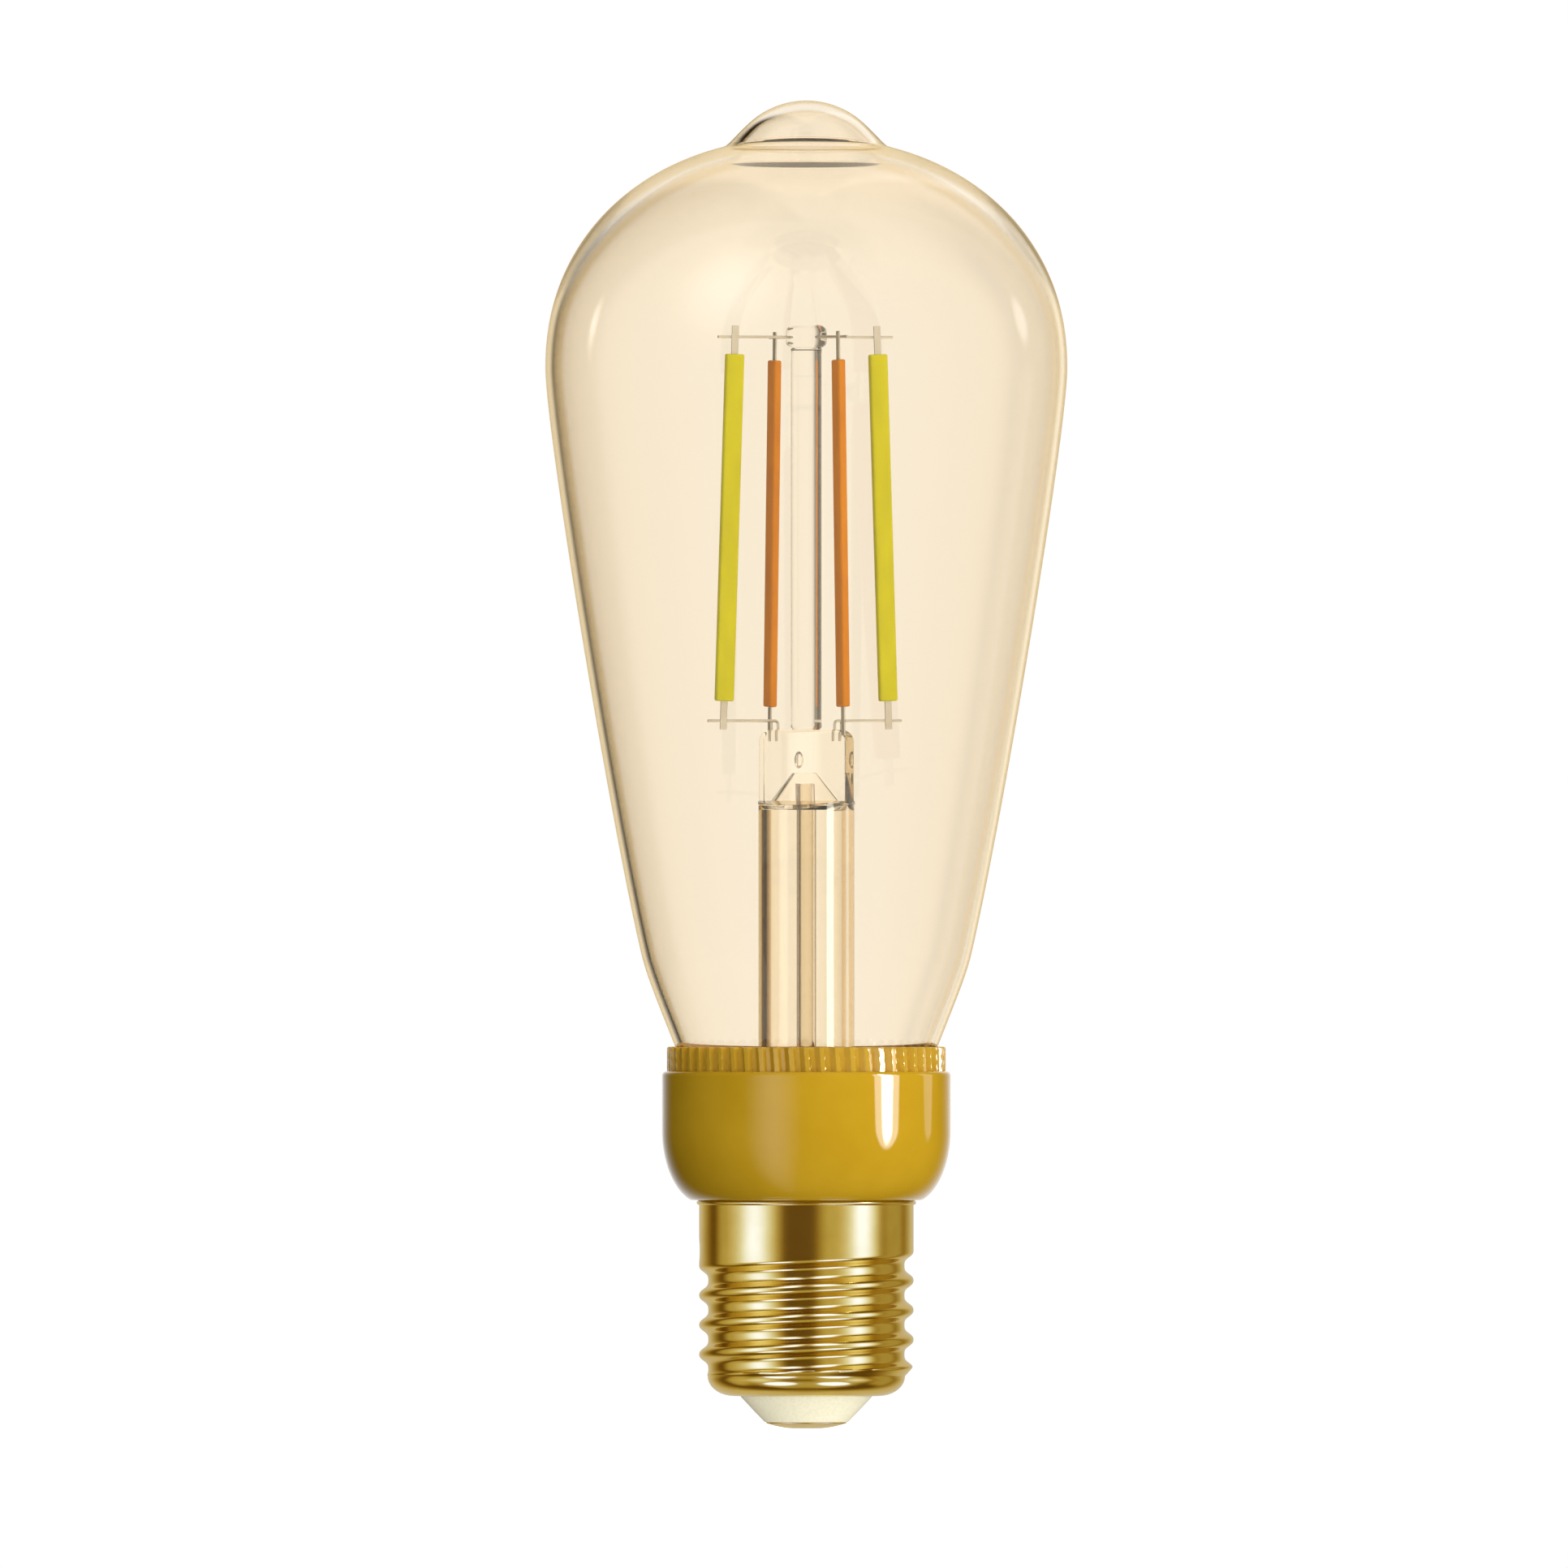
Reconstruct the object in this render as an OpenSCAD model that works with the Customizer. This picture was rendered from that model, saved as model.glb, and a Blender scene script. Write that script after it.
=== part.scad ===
// Tunable-white filament lamp with a radio driver in its screw cap.
// The origin is on the lamp's axis at the lowest point of the centre contact,
// and +Z runs up to the tip of the glass bulb. Sizes are millimetres.

/* [Glass bulb] */
// Overall height, from the centre contact to the glass tip
lamp_h = 162.8; // [161:0.1:165]
// Widest diameter of the glass
glass_d = 64; // [62:0.5:66]
// Thickness of the blown glass wall
glass_wall = 1.0; // [0.7:0.05:1.2]
// Height of the widest point above the contact
belly_z = 130; // [128:0.5:131]
// Rise of the rounded dome above the widest point
dome_h = 28.3; // [27:0.1:29.5]
// Squareness of the dome: 2 is a plain ellipse
dome_power = 2.14; // [2:0.01:2.4]
// Radius of the sealed tip
tip_r = 10.3; // [9:0.1:11.5]
// Size of the soft fillet between the tip and the dome
tip_blend = 2.4; // [1:0.1:4]
// Diameter of the straight neck that the base holds
neck_d = 29.6; // [29:0.1:29.8]

/* [Stem] */
// Outer diameter of the stem tube
stem_d = 11.8; // [11:0.1:12.4]
// Thickness of the flat pinch that seals the wires
press_t = 2.7; // [2.4:0.1:3.2]
// Height of the top of the pinch
press_z = 85.7; // [84:0.1:87]
// Diameter of the exhaust tube
exhaust_d = 2.5; // [2:0.1:3]
// Diameter of the glass rod that carries the upper wires
rod_d = 3.8; // [3:0.1:4.5]
// Diameter of the bead on the rod
bead_d = 5.1; // [4.8:0.1:6]

/* [Filaments] */
// Length of the phosphor coating
coat_len = 42.5; // [38:0.5:43]
// Width of a filament, measured from the axis outwards
coat_w = 2.35; // [1.9:0.05:2.6]
// Thickness of a filament
coat_t = 1.05; // [0.9:0.05:1.4]
// Distance from the axis to a filament's upper end
splay_top = 9.6; // [8:0.1:10]
// Distance from the axis to a filament's lower end
splay_low = 11.0; // [10.5:0.1:12]
// Emitting dies on each filament
die_count = 20; // [12:1:24]
// Diameter of the nickel wires
wire_d = 0.35; // [0.3:0.05:0.5]

/* [Base] */
// Diameter of the moulded collar
collar_d = 35.4; // [35:0.1:37]
// Height of the collar's top edge
collar_top = 43.8; // [43.5:0.1:44]
// Teeth round the ring under the glass
tooth_count = 56; // [40:2:64]
// Lean of each tooth
tooth_lean = 7; // [0:1:12]

/* [Screw cap] */
// Diameter over the thread crests
cap_d = 26.3; // [26.1:0.05:26.4]
// Depth of the rolled thread
thread_depth = 1.1; // [0.8:0.05:1.15]
// Rise of the thread in one turn
pitch = 3.629; // [3.6:0.001:3.65]
// Thickness of the brass sheet
cap_wall = 0.35; // [0.3:0.05:0.4]

/* [Hidden] */
$fn = 96;

// Glass bulb
glass_r = glass_d / 2;
waist = [20.2, 58];
waist_lean = 0.2345;
neck_r = neck_d / 2;
neck_top = 43;
neck_low = 34;
dome_steps = 22;
flank_steps = 14;
neck_steps = 8;

// Stem
stem_r = stem_d / 2;
stem_wall = 1.0;
flare_top = 46.5;
flare_h = 1.2;
flare_steps = 8;
pinch_low = 76.8;
pinch_high = 78.0;
pinch_corner = 1.5;
roof_apex = 80.6;
roof_drop = 2.2;
roof_half = 1.5;
slot_half = 0.65;
ridge = 0.3;
exhaust_top = 79.2;
exhaust_low = 38;
exhaust_bore = 1.5;
port_d = 1.7;
port_z = 81;

// Wires and filaments; the pinch lies square to the second mirror line
turn = 24;
wire_r = wire_d / 2;
tab_t = 0.2;
tab_w = 0.9;
tab_len = 3.5;
tab_grip = 0.4;
strip_w = 1.2;
strip_t = 0.35;
die_w = 0.8;
die_l = 1.0;
die_t = 0.2;
coat_top = 131.7;
warm_drop = 0.7;
bead_h = 2.9;
bead_top = 135.3;
bead_edge = 0.9;
top_wire_z = 133.8;
top_root = 1.4;
top_reach = 11.7;
arm_z = 86.8;
arm_past = 2.3;
seal_cool = 3.8;
seal_warm = 4.7;
tilt = atan((splay_low - splay_top) / coat_len);
filament_mid_r = (splay_top + splay_low) / 2;

// Base
ring_r = 17.0;
ring_bore = 16.2;
ring_top = 46.8;
tooth_depth = 0.45;
tooth_width = 1.15;
tooth_inset = 0.6;
tooth_block = 1.6;
collar_r = collar_d / 2;
bowl_z = 36.5;
bowl_h = 9;
bowl_r = 5.15;
collar_low = 28.0;
bore_r = 15.9;
floor_z = 30.2;
spigot_low = 23.8;
throat_r = 11.65;
cement_low = 36;
cement_h = 6.5;

// Screw cap
cap_r = cap_d / 2;
root_z = 19.95;
runout_turn = 200;
fade_turn = 150;
thread_top = 23.6;
skirt_low = 23.2;
lip_r = 13.45;
lip_h = 0.45;
eye_r = 8.17;
eye_flat = 8.9;
eye_z = 3.98;
round_top = 6.4;
round_r = 12.1;
thread_n = 36;
thread_rows = 28;
round_rows = 5;
insulator_r = 8.1;
insulator_low = 5.25;
contact_r = 4.93;
contact_z = 0.76;
contact_flat = 2;
rivet_r = 1;
rivet_top = 6.6;

// Driver
board_t = 1;
board_w = 20.6;
board_head_w = 23.2;
board_low = 9.5;
board_top = 32;
head_z = 24;
link_r = 0.3;
link_z = 23.2;
link_x = 12.5;
radio_y = 3.3;
radio_t = 0.8;

function smooth_max(a, b, k) =
    max(a, b) + pow(max(k - abs(a - b), 0) / k, 2) * k / 4;

function smooth_min(a, b, k) = -smooth_max(-a, -b, k);

function clamp(x, low, high) = min(max(x, low), high);

function bezier(a, b, c, d, t) =
    pow(1 - t, 3) * a + 3 * pow(1 - t, 2) * t * b
    + 3 * (1 - t) * t * t * c + pow(t, 3) * d;

// Height of the glass at a radius: a squared-off dome under a round tip.
function dome_z(r) =
    belly_z + dome_h * pow(max(1 - pow(r / glass_r, dome_power), 0), 1 / dome_power);

function tip_z(r) =
    r < tip_r ? lamp_h - tip_r + sqrt(tip_r * tip_r - r * r) : 0;

function crown(i) =
    let (r = glass_r * sin(90 * i / dome_steps))
    [r, smooth_max(dome_z(r), tip_z(r), tip_blend)];

function flank(t) =
    bezier(
        [glass_r, belly_z],
        [glass_r, belly_z - 7.5],
        waist + [waist_lean, 1] * 17,
        waist, t);

function neck(t) =
    bezier(
        waist,
        waist - [waist_lean, 1] * 4,
        [neck_r + 0.6, neck_top + 2.7],
        [neck_r, neck_top], t);

outline = concat(
    [for (i = [0:dome_steps]) crown(i)],
    [for (i = [1:flank_steps]) flank(i / flank_steps)],
    [for (i = [1:neck_steps]) neck(i / neck_steps)],
    [[neck_r, neck_low]]);

// The outline moved inwards by one wall, square to the curve at each point.
function inward(p, i) =
    let (
        n = len(p),
        step = p[min(i + 1, n - 1)] - p[max(i - 1, 0)],
        d = step / norm(step))
    i == 0 ? p[0] - [0, glass_wall]
    : i == n - 1 ? p[i] - [glass_wall, 0]
    : [max(p[i][0] + d[1] * glass_wall, 0), p[i][1] - d[0] * glass_wall];

module glass_envelope() {
    n = len(outline);
    color([0.95, 0.87, 0.72, 0.35])
        rotate_extrude($fn = 128)
            polygon(concat(outline, [for (i = [n - 1:-1:0]) inward(outline, i)]));
}

// Radius of the flare between the neck's foot and the straight tube.
function flare_r(t) = stem_r + (neck_r - glass_wall - stem_r) * pow(1 - t, 2.4);

// The flare, the tube and the blank of the pinch as one turned solid.
module stem_blank() {
    rise = flare_top - neck_low - flare_h;
    rotate_extrude()
        polygon(concat(
            [[0, neck_low], [flare_r(0), neck_low]],
            [for (i = [0:flare_steps])
                [flare_r(i / flare_steps), neck_low + flare_h + rise * i / flare_steps]],
            [[stem_r, press_z], [0, press_z]]));
}

// A bar along the pinch's broad way that closes to a ridge, as seen from its end.
module roof_bar() {
    side = [[neck_r, 0], [neck_r, flare_top + 5], [stem_r - 0.5, flare_top + 5],
        [stem_r - 0.5, pinch_low - roof_drop], [slot_half, pinch_low + 0.2],
        [ridge, roof_apex]];
    rotate([90, 0, 90])
        linear_extrude(4 * neck_r, center = true)
            polygon(concat(
                side,
                [for (i = [len(side) - 1:-1:0]) [-side[i][0], side[i][1]]]));
}

// The hollow of the stem, which narrows both ways to a roof in the pinch.
module stem_hollow() {
    rise = flare_top - neck_low;
    intersection() {
        rotate_extrude()
            polygon(concat(
                [[0, neck_low - 1], [flare_r(0) - stem_wall, neck_low - 1]],
                [for (i = [0:flare_steps])
                    [flare_r(i / flare_steps) - stem_wall, neck_low + rise * i / flare_steps]],
                [[stem_r - stem_wall, pinch_low],
                 [roof_half, roof_apex + 0.1], [0, roof_apex + 0.1]]));
        roof_bar();
    }
}

// What is pressed away: both cheeks of the pinch and its two upper corners.
module pinch_waste() {
    reach = 2 * stem_r;
    inset = stem_r + 0.1 - pinch_corner;
    for (s = [0, 1])
        mirror([0, s, 0])
            rotate([90, 0, 90])
                linear_extrude(2 * reach, center = true)
                    polygon([
                        [stem_r + 0.4, pinch_low - 0.1], [reach, pinch_low - 0.1],
                        [reach, press_z + 1], [press_t / 2, press_z + 1],
                        [press_t / 2, pinch_high]]);
    for (s = [0, 1])
        mirror([s, 0, 0])
            rotate([90, 0, 0])
                linear_extrude(2 * reach, center = true)
                    difference() {
                        translate([inset, press_z - pinch_corner])
                            square(pinch_corner + 1);
                        translate([inset, press_z - pinch_corner])
                            circle(pinch_corner);
                    }
}

module glass_stem() {
    color([0.97, 0.92, 0.82, 0.4])
        difference() {
            stem_blank();
            rotate(-turn) {
                pinch_waste();
                stem_hollow();
                translate([0, 0, port_z])
                    rotate([90, 0, 0])
                        cylinder(d = port_d, h = stem_r);
            }
            translate([0, 0, pinch_low - 3])
                cylinder(d = exhaust_d, h = exhaust_top - pinch_low + 3);
            translate([0, 0, exhaust_top - 0.5])
                cylinder(d = exhaust_bore, h = port_z - exhaust_top + 0.5);
            for (pair = [0, 1], side = [-1, 1])
                seal_wire(pair, side);
        }
}

module exhaust_tube() {
    color([0.97, 0.92, 0.82, 0.4])
        translate([0, 0, exhaust_low])
            difference() {
                cylinder(d = exhaust_d, h = exhaust_top - exhaust_low);
                translate([0, 0, -1])
                    cylinder(d = exhaust_bore, h = exhaust_top - exhaust_low + 2);
            }
}

module support_rod() {
    r = bead_d / 2;
    inset = r - bead_edge;
    color([0.97, 0.94, 0.88, 0.4])
        difference() {
            union() {
                translate([0, 0, press_z])
                    cylinder(d = rod_d, h = bead_top - bead_h / 2 - press_z);
                rotate_extrude()
                    intersection() {
                        square([r, bead_top]);
                        union() {
                            translate([0, bead_top - bead_h])
                                square([inset, bead_h]);
                            translate([0, bead_top - bead_h + bead_edge])
                                square([r, bead_h - 2 * bead_edge]);
                            for (z = [bead_top - bead_edge, bead_top - bead_h + bead_edge])
                                translate([inset, z])
                                    circle(bead_edge);
                        }
                    }
            }
            for (pair = [0, 1], side = [-1, 1])
                top_wire(pair, side);
        }
}

// Pair 0 is cool and pair 1 is warm. Side 1 is to the right, -1 to the left.
function pair_angle(pair) = pair == 0 ? turn : turn - 90;

function pair_drop(pair) = pair == 0 ? 0 : warm_drop;

// The wires pass beside the tabs, on the side away from the front.
function beside(pair) = pair == 0 ? [-sin(turn), cos(turn)] : [cos(turn), sin(turn)];

function outward(angle) = [cos(angle), sin(angle)];

// A wire from its root inside the bead to just past the upper tab.
module top_wire(pair, side) {
    shift = beside(pair) * (wire_r + tab_t / 2);
    color([0.75, 0.71, 0.63])
        translate([shift[0], shift[1], top_wire_z])
            rotate([0, 90, pair_angle(pair) + (side < 0 ? 180 : 0)])
                translate([0, 0, top_root])
                    cylinder(r = wire_r, h = top_reach - top_root, $fn = 24);
}

module top_wire_cool_left() top_wire(0, -1);
module top_wire_cool_right() top_wire(0, 1);
module top_wire_warm_left() top_wire(1, -1);
module top_wire_warm_right() top_wire(1, 1);

// Where each lead wire leaves the pinch.
function seal_point(pair, side) =
    outward(-turn) * side * (pair == 0 ? seal_cool : seal_warm);

// Where each lead wire passes the lower tab of its filament.
function weld_point(pair, side) =
    outward(pair_angle(pair)) * side * (splay_low + 0.1)
    + beside(pair) * (wire_r + tab_t / 2 + 0.03);

module seal_wire(pair, side) {
    p = seal_point(pair, side);
    translate([p[0], p[1], board_top])
        cylinder(r = wire_r, h = arm_z - board_top, $fn = 24);
}

module lead_wire(pair, side) {
    p = seal_point(pair, side);
    run = weld_point(pair, side) - p;
    color([0.7, 0.65, 0.56])
        union() {
            seal_wire(pair, side);
            translate([p[0], p[1], arm_z]) {
                sphere(r = wire_r, $fn = 24);
                rotate([0, 90, atan2(run[1], run[0])])
                    cylinder(r = wire_r, h = norm(run) + arm_past, $fn = 24);
            }
        }
}

module lead_wire_cool_left() lead_wire(0, -1);
module lead_wire_cool_right() lead_wire(0, 1);
module lead_wire_warm_left() lead_wire(1, -1);
module lead_wire_warm_right() lead_wire(1, 1);

// Puts a filament's parts in place: x runs outwards, z up the filament.
module place_filament(pair, side) {
    rotate(pair_angle(pair) + (side < 0 ? 180 : 0))
        translate([filament_mid_r, 0, coat_top - coat_len / 2 - pair_drop(pair)])
            rotate([0, -tilt, 0])
                children();
}

module strip() {
    cube([strip_w, strip_t, coat_len - 2 * tab_grip], center = true);
}

module tab(end) {
    translate([0, 0, end * (coat_len / 2 - tab_grip + (tab_len + tab_grip) / 2)])
        cube([tab_w, tab_t, tab_len + tab_grip], center = true);
}

module dies() {
    step = (coat_len - 3) / die_count;
    for (i = [0:die_count - 1])
        translate([0, -(strip_t + die_t) / 2, (i + 0.5) * step - die_count * step / 2])
            cube([die_w, die_t, die_l], center = true);
}

module coating(pair, side) {
    edge = 0.35;
    place_filament(pair, side)
        difference() {
            linear_extrude(coat_len, center = true) {
                square([coat_w, coat_t - 2 * edge], center = true);
                square([coat_w - 2 * edge, coat_t], center = true);
                for (sx = [-1, 1], sy = [-1, 1])
                    translate([sx * (coat_w / 2 - edge), sy * (coat_t / 2 - edge)])
                        circle(edge, $fn = 24);
            }
            strip();
            tab(1);
            tab(-1);
            dies();
        }
}

module filament_cool_left() color([0.9, 0.83, 0.1]) coating(0, -1);
module filament_cool_right() color([0.9, 0.83, 0.1]) coating(0, 1);
module filament_warm_left() color([0.9, 0.56, 0.18]) coating(1, -1);
module filament_warm_right() color([0.9, 0.56, 0.18]) coating(1, 1);

module each_filament() {
    for (pair = [0, 1], side = [-1, 1])
        place_filament(pair, side)
            children();
}

module filament_strips() color([0.93, 0.93, 0.9]) each_filament() strip();
module filament_tabs_top() color([0.8, 0.76, 0.68]) each_filament() tab(1);
module filament_tabs_low() color([0.8, 0.76, 0.68]) each_filament() tab(-1);

module dies_of(pair) {
    for (side = [-1, 1])
        place_filament(pair, side)
            dies();
}

module dies_cool() color([0.35, 0.45, 0.8]) dies_of(0);
module dies_warm() color([0.35, 0.45, 0.8]) dies_of(1);

module toothed_ring() {
    height = ring_top - collar_top;
    color([0.78, 0.62, 0.24])
        difference() {
            union() {
                translate([0, 0, collar_top])
                    cylinder(r = ring_r - tooth_depth, h = height);
                intersection() {
                    translate([0, 0, collar_top])
                        cylinder(r1 = ring_r + 0.1, r2 = ring_r - 0.05, h = height);
                    for (i = [0:tooth_count - 1])
                        rotate(i * 360 / tooth_count)
                            translate([ring_r - tooth_inset, 0, collar_top + height / 2])
                                rotate([tooth_lean, 0, 0])
                                    cube([tooth_block, tooth_width, height + 1], center = true);
                }
            }
            translate([0, 0, collar_top - 1])
                cylinder(r = ring_bore, h = height + 2);
        }
}

// Radius of the collar's bowl at a height below its straight wall.
function bowl(z) =
    collar_r - bowl_r * (1 - sqrt(1 - pow(clamp((bowl_z - z) / bowl_h, 0, 1), 2)));

module base_collar() {
    steps = 12;
    edge = 0.3;
    wall = 1.8;
    under = [for (i = [0:steps])
        let (z = collar_low + (bowl_z - collar_low) * i / steps) [bowl(z), z]];
    color([0.75, 0.6, 0.16])
        difference() {
            rotate_extrude()
                polygon(concat(
                    [[throat_r, spigot_low], [cap_r - cap_wall, spigot_low],
                     [cap_r - cap_wall, collar_low]],
                    under,
                    [[collar_r, collar_top - edge], [collar_r - edge, collar_top],
                     [bore_r, collar_top], [bore_r, floor_z + 4],
                     [bore_r - wall, floor_z], [throat_r, floor_z]]));
            rotate(-turn)
                translate([link_x - link_r, -link_r, spigot_low - 1])
                    cube([2, 2 * link_r, collar_low - spigot_low]);
        }
}

module neck_cement() {
    color([0.88, 0.85, 0.78])
        translate([0, 0, cement_low])
            difference() {
                cylinder(r = bore_r, h = cement_h);
                translate([0, 0, -1])
                    cylinder(r = neck_r, h = cement_h + 2);
            }
}

// How deep the thread's groove is after a number of degrees up its helix.
function groove(angle) =
    let (faded = clamp((angle - runout_turn + fade_turn) / fade_turn, 0, 1))
    thread_depth * (0.5 + 0.5 * cos(180 * faded));

// Outer radius of the rolled thread at an angle and a height.
function thread_r(angle, z) =
    let (
        rise = z - root_z - pitch * angle / 360,
        n = round(rise / pitch),
        phase = 360 * (rise / pitch - n),
        depth = groove(angle + 360 * n),
        plain = cap_r - 0.04 - depth * (0.5 + 0.5 * cos(phase)),
        limit = round_r + 0.9 * (z - round_top))
    smooth_min(plain, max(limit, round_r), 0.3);

// Radius and height of the rounded foot, from the eye outwards.
function foot(i) =
    let (a = 90 * i / round_rows)
    [eye_flat + (round_r - eye_flat) * sin(a),
     eye_z + (round_top - eye_z) * (1 - cos(a))];

function ring_points(r, z) =
    [for (k = [0:thread_n - 1])
        let (a = 360 * k / thread_n) [r * cos(a), r * sin(a), z]];

// The inner face of the foot stands one sheet's thickness inside the outer face.
function foot_inside(i) =
    foot(i) + [-cap_wall, cap_wall * cos(90 * i / round_rows)];

function thread_ring(z, inset) =
    [for (k = [0:thread_n - 1])
        let (a = 360 * k / thread_n, r = thread_r(a, z) - inset)
        [r * cos(a), r * sin(a), z]];

function thread_z(i) = round_top + (thread_top - round_top) * i / thread_rows;

// One closed skin: up the outside from the eye, over the top, down the inside.
module thread_body() {
    skin = concat(
        [ring_points(eye_r, eye_z)],
        [for (i = [0:round_rows]) ring_points(foot(i)[0], foot(i)[1])],
        [for (i = [1:thread_rows]) thread_ring(thread_z(i), 0)],
        [for (i = [thread_rows:-1:1]) thread_ring(thread_z(i), cap_wall - 0.1)],
        [for (i = [round_rows:-1:1]) ring_points(foot_inside(i)[0], foot_inside(i)[1])],
        [ring_points(eye_flat, eye_z + cap_wall), ring_points(eye_r, eye_z + cap_wall)]);
    rows = len(skin);
    points = [for (ring = skin) for (p = ring) p];
    faces = [for (j = [0:rows - 1]) for (k = [0:thread_n - 1])
        let (
            a = j * thread_n + k,
            b = j * thread_n + (k + 1) % thread_n,
            c = ((j + 1) % rows) * thread_n + (k + 1) % thread_n,
            d = ((j + 1) % rows) * thread_n + k)
        each [[a, c, b], [a, d, c]]];
    polyhedron(points, faces);
}

module cap_skirt() {
    rotate_extrude()
        polygon([
            [cap_r - cap_wall, skirt_low], [cap_r, skirt_low],
            [cap_r, collar_low - lip_h], [lip_r, collar_low - lip_h / 2],
            [lip_r, collar_low], [cap_r - cap_wall, collar_low]]);
}

module screw_shell() {
    color([0.72, 0.56, 0.22]) {
        thread_body();
        cap_skirt();
    }
}

module cap_insulator() {
    color([0.9, 0.87, 0.75])
        rotate_extrude()
            polygon([
                [rivet_r, contact_z], [insulator_low, contact_z],
                [insulator_r, eye_z - 0.05], [insulator_r, eye_z + cap_wall],
                [eye_flat, eye_z + cap_wall], [eye_flat - 0.6, 5.9],
                [rivet_r, 5.9]]);
}

module center_contact() {
    color([0.85, 0.75, 0.48])
        rotate_extrude()
            polygon([
                [0, 0], [contact_flat, 0], [3.1, 0.14], [4.1, 0.36],
                [contact_r, 0.64], [contact_r, contact_z],
                [rivet_r, contact_z], [rivet_r, rivet_top], [0, rivet_top]]);
}

// Every driver part stands on the board's own axes.
module on_board() {
    rotate(-turn)
        children();
}

module driver_board() {
    color([0.12, 0.4, 0.25])
        on_board() {
            translate([-board_w / 2, -board_t / 2, board_low])
                cube([board_w, board_t, head_z - board_low]);
            translate([-board_head_w / 2, -board_t / 2, head_z])
                cube([board_head_w, board_t, board_top - head_z]);
        }
}

module bulk_capacitor() {
    r = 4;
    color([0.15, 0.17, 0.25])
        on_board()
            translate([-4, -board_t / 2 - r, 17])
                difference() {
                    cylinder(r = r, h = 12);
                    translate([0, 0, 1.2])
                        rotate_extrude()
                            translate([r + 0.3, 0])
                                circle(0.6, $fn = 24);
                }
}

module power_inductor() {
    r = 3;
    color([0.25, 0.24, 0.23])
        on_board()
            translate([5, -board_t / 2 - r, 19])
                rotate_extrude()
                    polygon([[0, 0], [r, 0], [r, 1], [r - 0.6, 1],
                        [r - 0.6, 5.5], [r, 5.5], [r, 6.5], [0, 6.5]]);
}

module bridge_rectifier() {
    color([0.1, 0.1, 0.1])
        on_board()
            translate([-6, -board_t / 2 - 2, 11])
                cube([5, 2, 4]);
}

module fuse_resistor() {
    r = 1.1;
    color([0.55, 0.68, 0.75])
        on_board()
            translate([6.5, board_t / 2 + r, 11]) {
                cylinder(r = r * 0.8, h = 7);
                cylinder(r = r, h = 1.6);
                translate([0, 0, 5.4])
                    cylinder(r = r, h = 1.6);
            }
}

module led_driver_chips() {
    color([0.12, 0.12, 0.13])
        on_board()
            for (x = [-7.5, -1])
                translate([x, board_t / 2, 11])
                    cube([4.9, 1.5, 3.9]);
}

module radio_board() {
    color([0.1, 0.25, 0.5])
        on_board()
            translate([-6.5, radio_y, 17])
                cube([13, radio_t, 16]);
}

module radio_shield() {
    color([0.8, 0.8, 0.8])
        on_board()
            translate([-5, radio_y + radio_t, 18])
                cube([10, 2, 9.5]);
}

module radio_pins() {
    color([0.85, 0.7, 0.3])
        on_board()
            for (i = [0:4])
                translate([(i - 2) * 2, board_t / 2, 18.5])
                    rotate([-90, 0, 0])
                        cylinder(d = 0.6, h = radio_y - board_t / 2, $fn = 16);
}

module live_wire() {
    color([0.75, 0.2, 0.15])
        translate([0, 0, rivet_top])
            cylinder(d = 0.9, h = board_low - rivet_top, $fn = 24);
}

module neutral_wire() {
    color([0.2, 0.3, 0.7])
        on_board() {
            translate([board_w / 2, 0, link_z])
                rotate([0, 90, 0])
                    cylinder(r = link_r, h = link_x - board_w / 2, $fn = 24);
            translate([link_x, 0, link_z]) {
                sphere(r = link_r, $fn = 24);
                cylinder(r = link_r, h = 3, $fn = 24);
            }
        }
}

glass_envelope();
glass_stem();
exhaust_tube();
support_rod();
top_wire_cool_left();
top_wire_cool_right();
top_wire_warm_left();
top_wire_warm_right();
lead_wire_cool_left();
lead_wire_cool_right();
lead_wire_warm_left();
lead_wire_warm_right();
filament_cool_left();
filament_cool_right();
filament_warm_left();
filament_warm_right();
filament_strips();
filament_tabs_top();
filament_tabs_low();
dies_cool();
dies_warm();
toothed_ring();
base_collar();
neck_cement();
screw_shell();
cap_insulator();
center_contact();
driver_board();
bulk_capacitor();
power_inductor();
bridge_rectifier();
fuse_resistor();
led_driver_chips();
radio_board();
radio_shield();
radio_pins();
live_wire();
neutral_wire();
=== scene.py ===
"""Looks of a filament lamp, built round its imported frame.

Sizes in this file are millimetres until a mesh is made, and the lamp stands on
its centre contact with its axis on Z. The camera looks along +Y.
"""

from __future__ import annotations

import logging
import math
from dataclasses import dataclass, field
from enum import Enum

import bpy
import numpy as np
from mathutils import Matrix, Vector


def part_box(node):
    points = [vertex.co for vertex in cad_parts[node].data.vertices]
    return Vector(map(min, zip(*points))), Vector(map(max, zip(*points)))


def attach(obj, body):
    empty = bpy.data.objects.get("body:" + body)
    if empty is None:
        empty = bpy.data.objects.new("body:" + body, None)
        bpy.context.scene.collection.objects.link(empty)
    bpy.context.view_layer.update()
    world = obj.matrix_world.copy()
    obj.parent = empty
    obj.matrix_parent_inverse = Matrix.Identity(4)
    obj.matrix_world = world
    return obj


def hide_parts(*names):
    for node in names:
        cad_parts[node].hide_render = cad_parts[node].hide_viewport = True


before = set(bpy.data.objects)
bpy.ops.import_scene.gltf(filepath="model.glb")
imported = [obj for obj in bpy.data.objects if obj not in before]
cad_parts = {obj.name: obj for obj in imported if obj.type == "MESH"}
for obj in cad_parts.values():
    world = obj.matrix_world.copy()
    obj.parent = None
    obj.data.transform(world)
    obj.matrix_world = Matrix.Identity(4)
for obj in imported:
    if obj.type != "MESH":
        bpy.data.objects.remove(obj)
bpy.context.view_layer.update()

LOG = logging.getLogger("lamp")
MM = 0.001
TAU = 2.0 * math.pi
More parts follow.
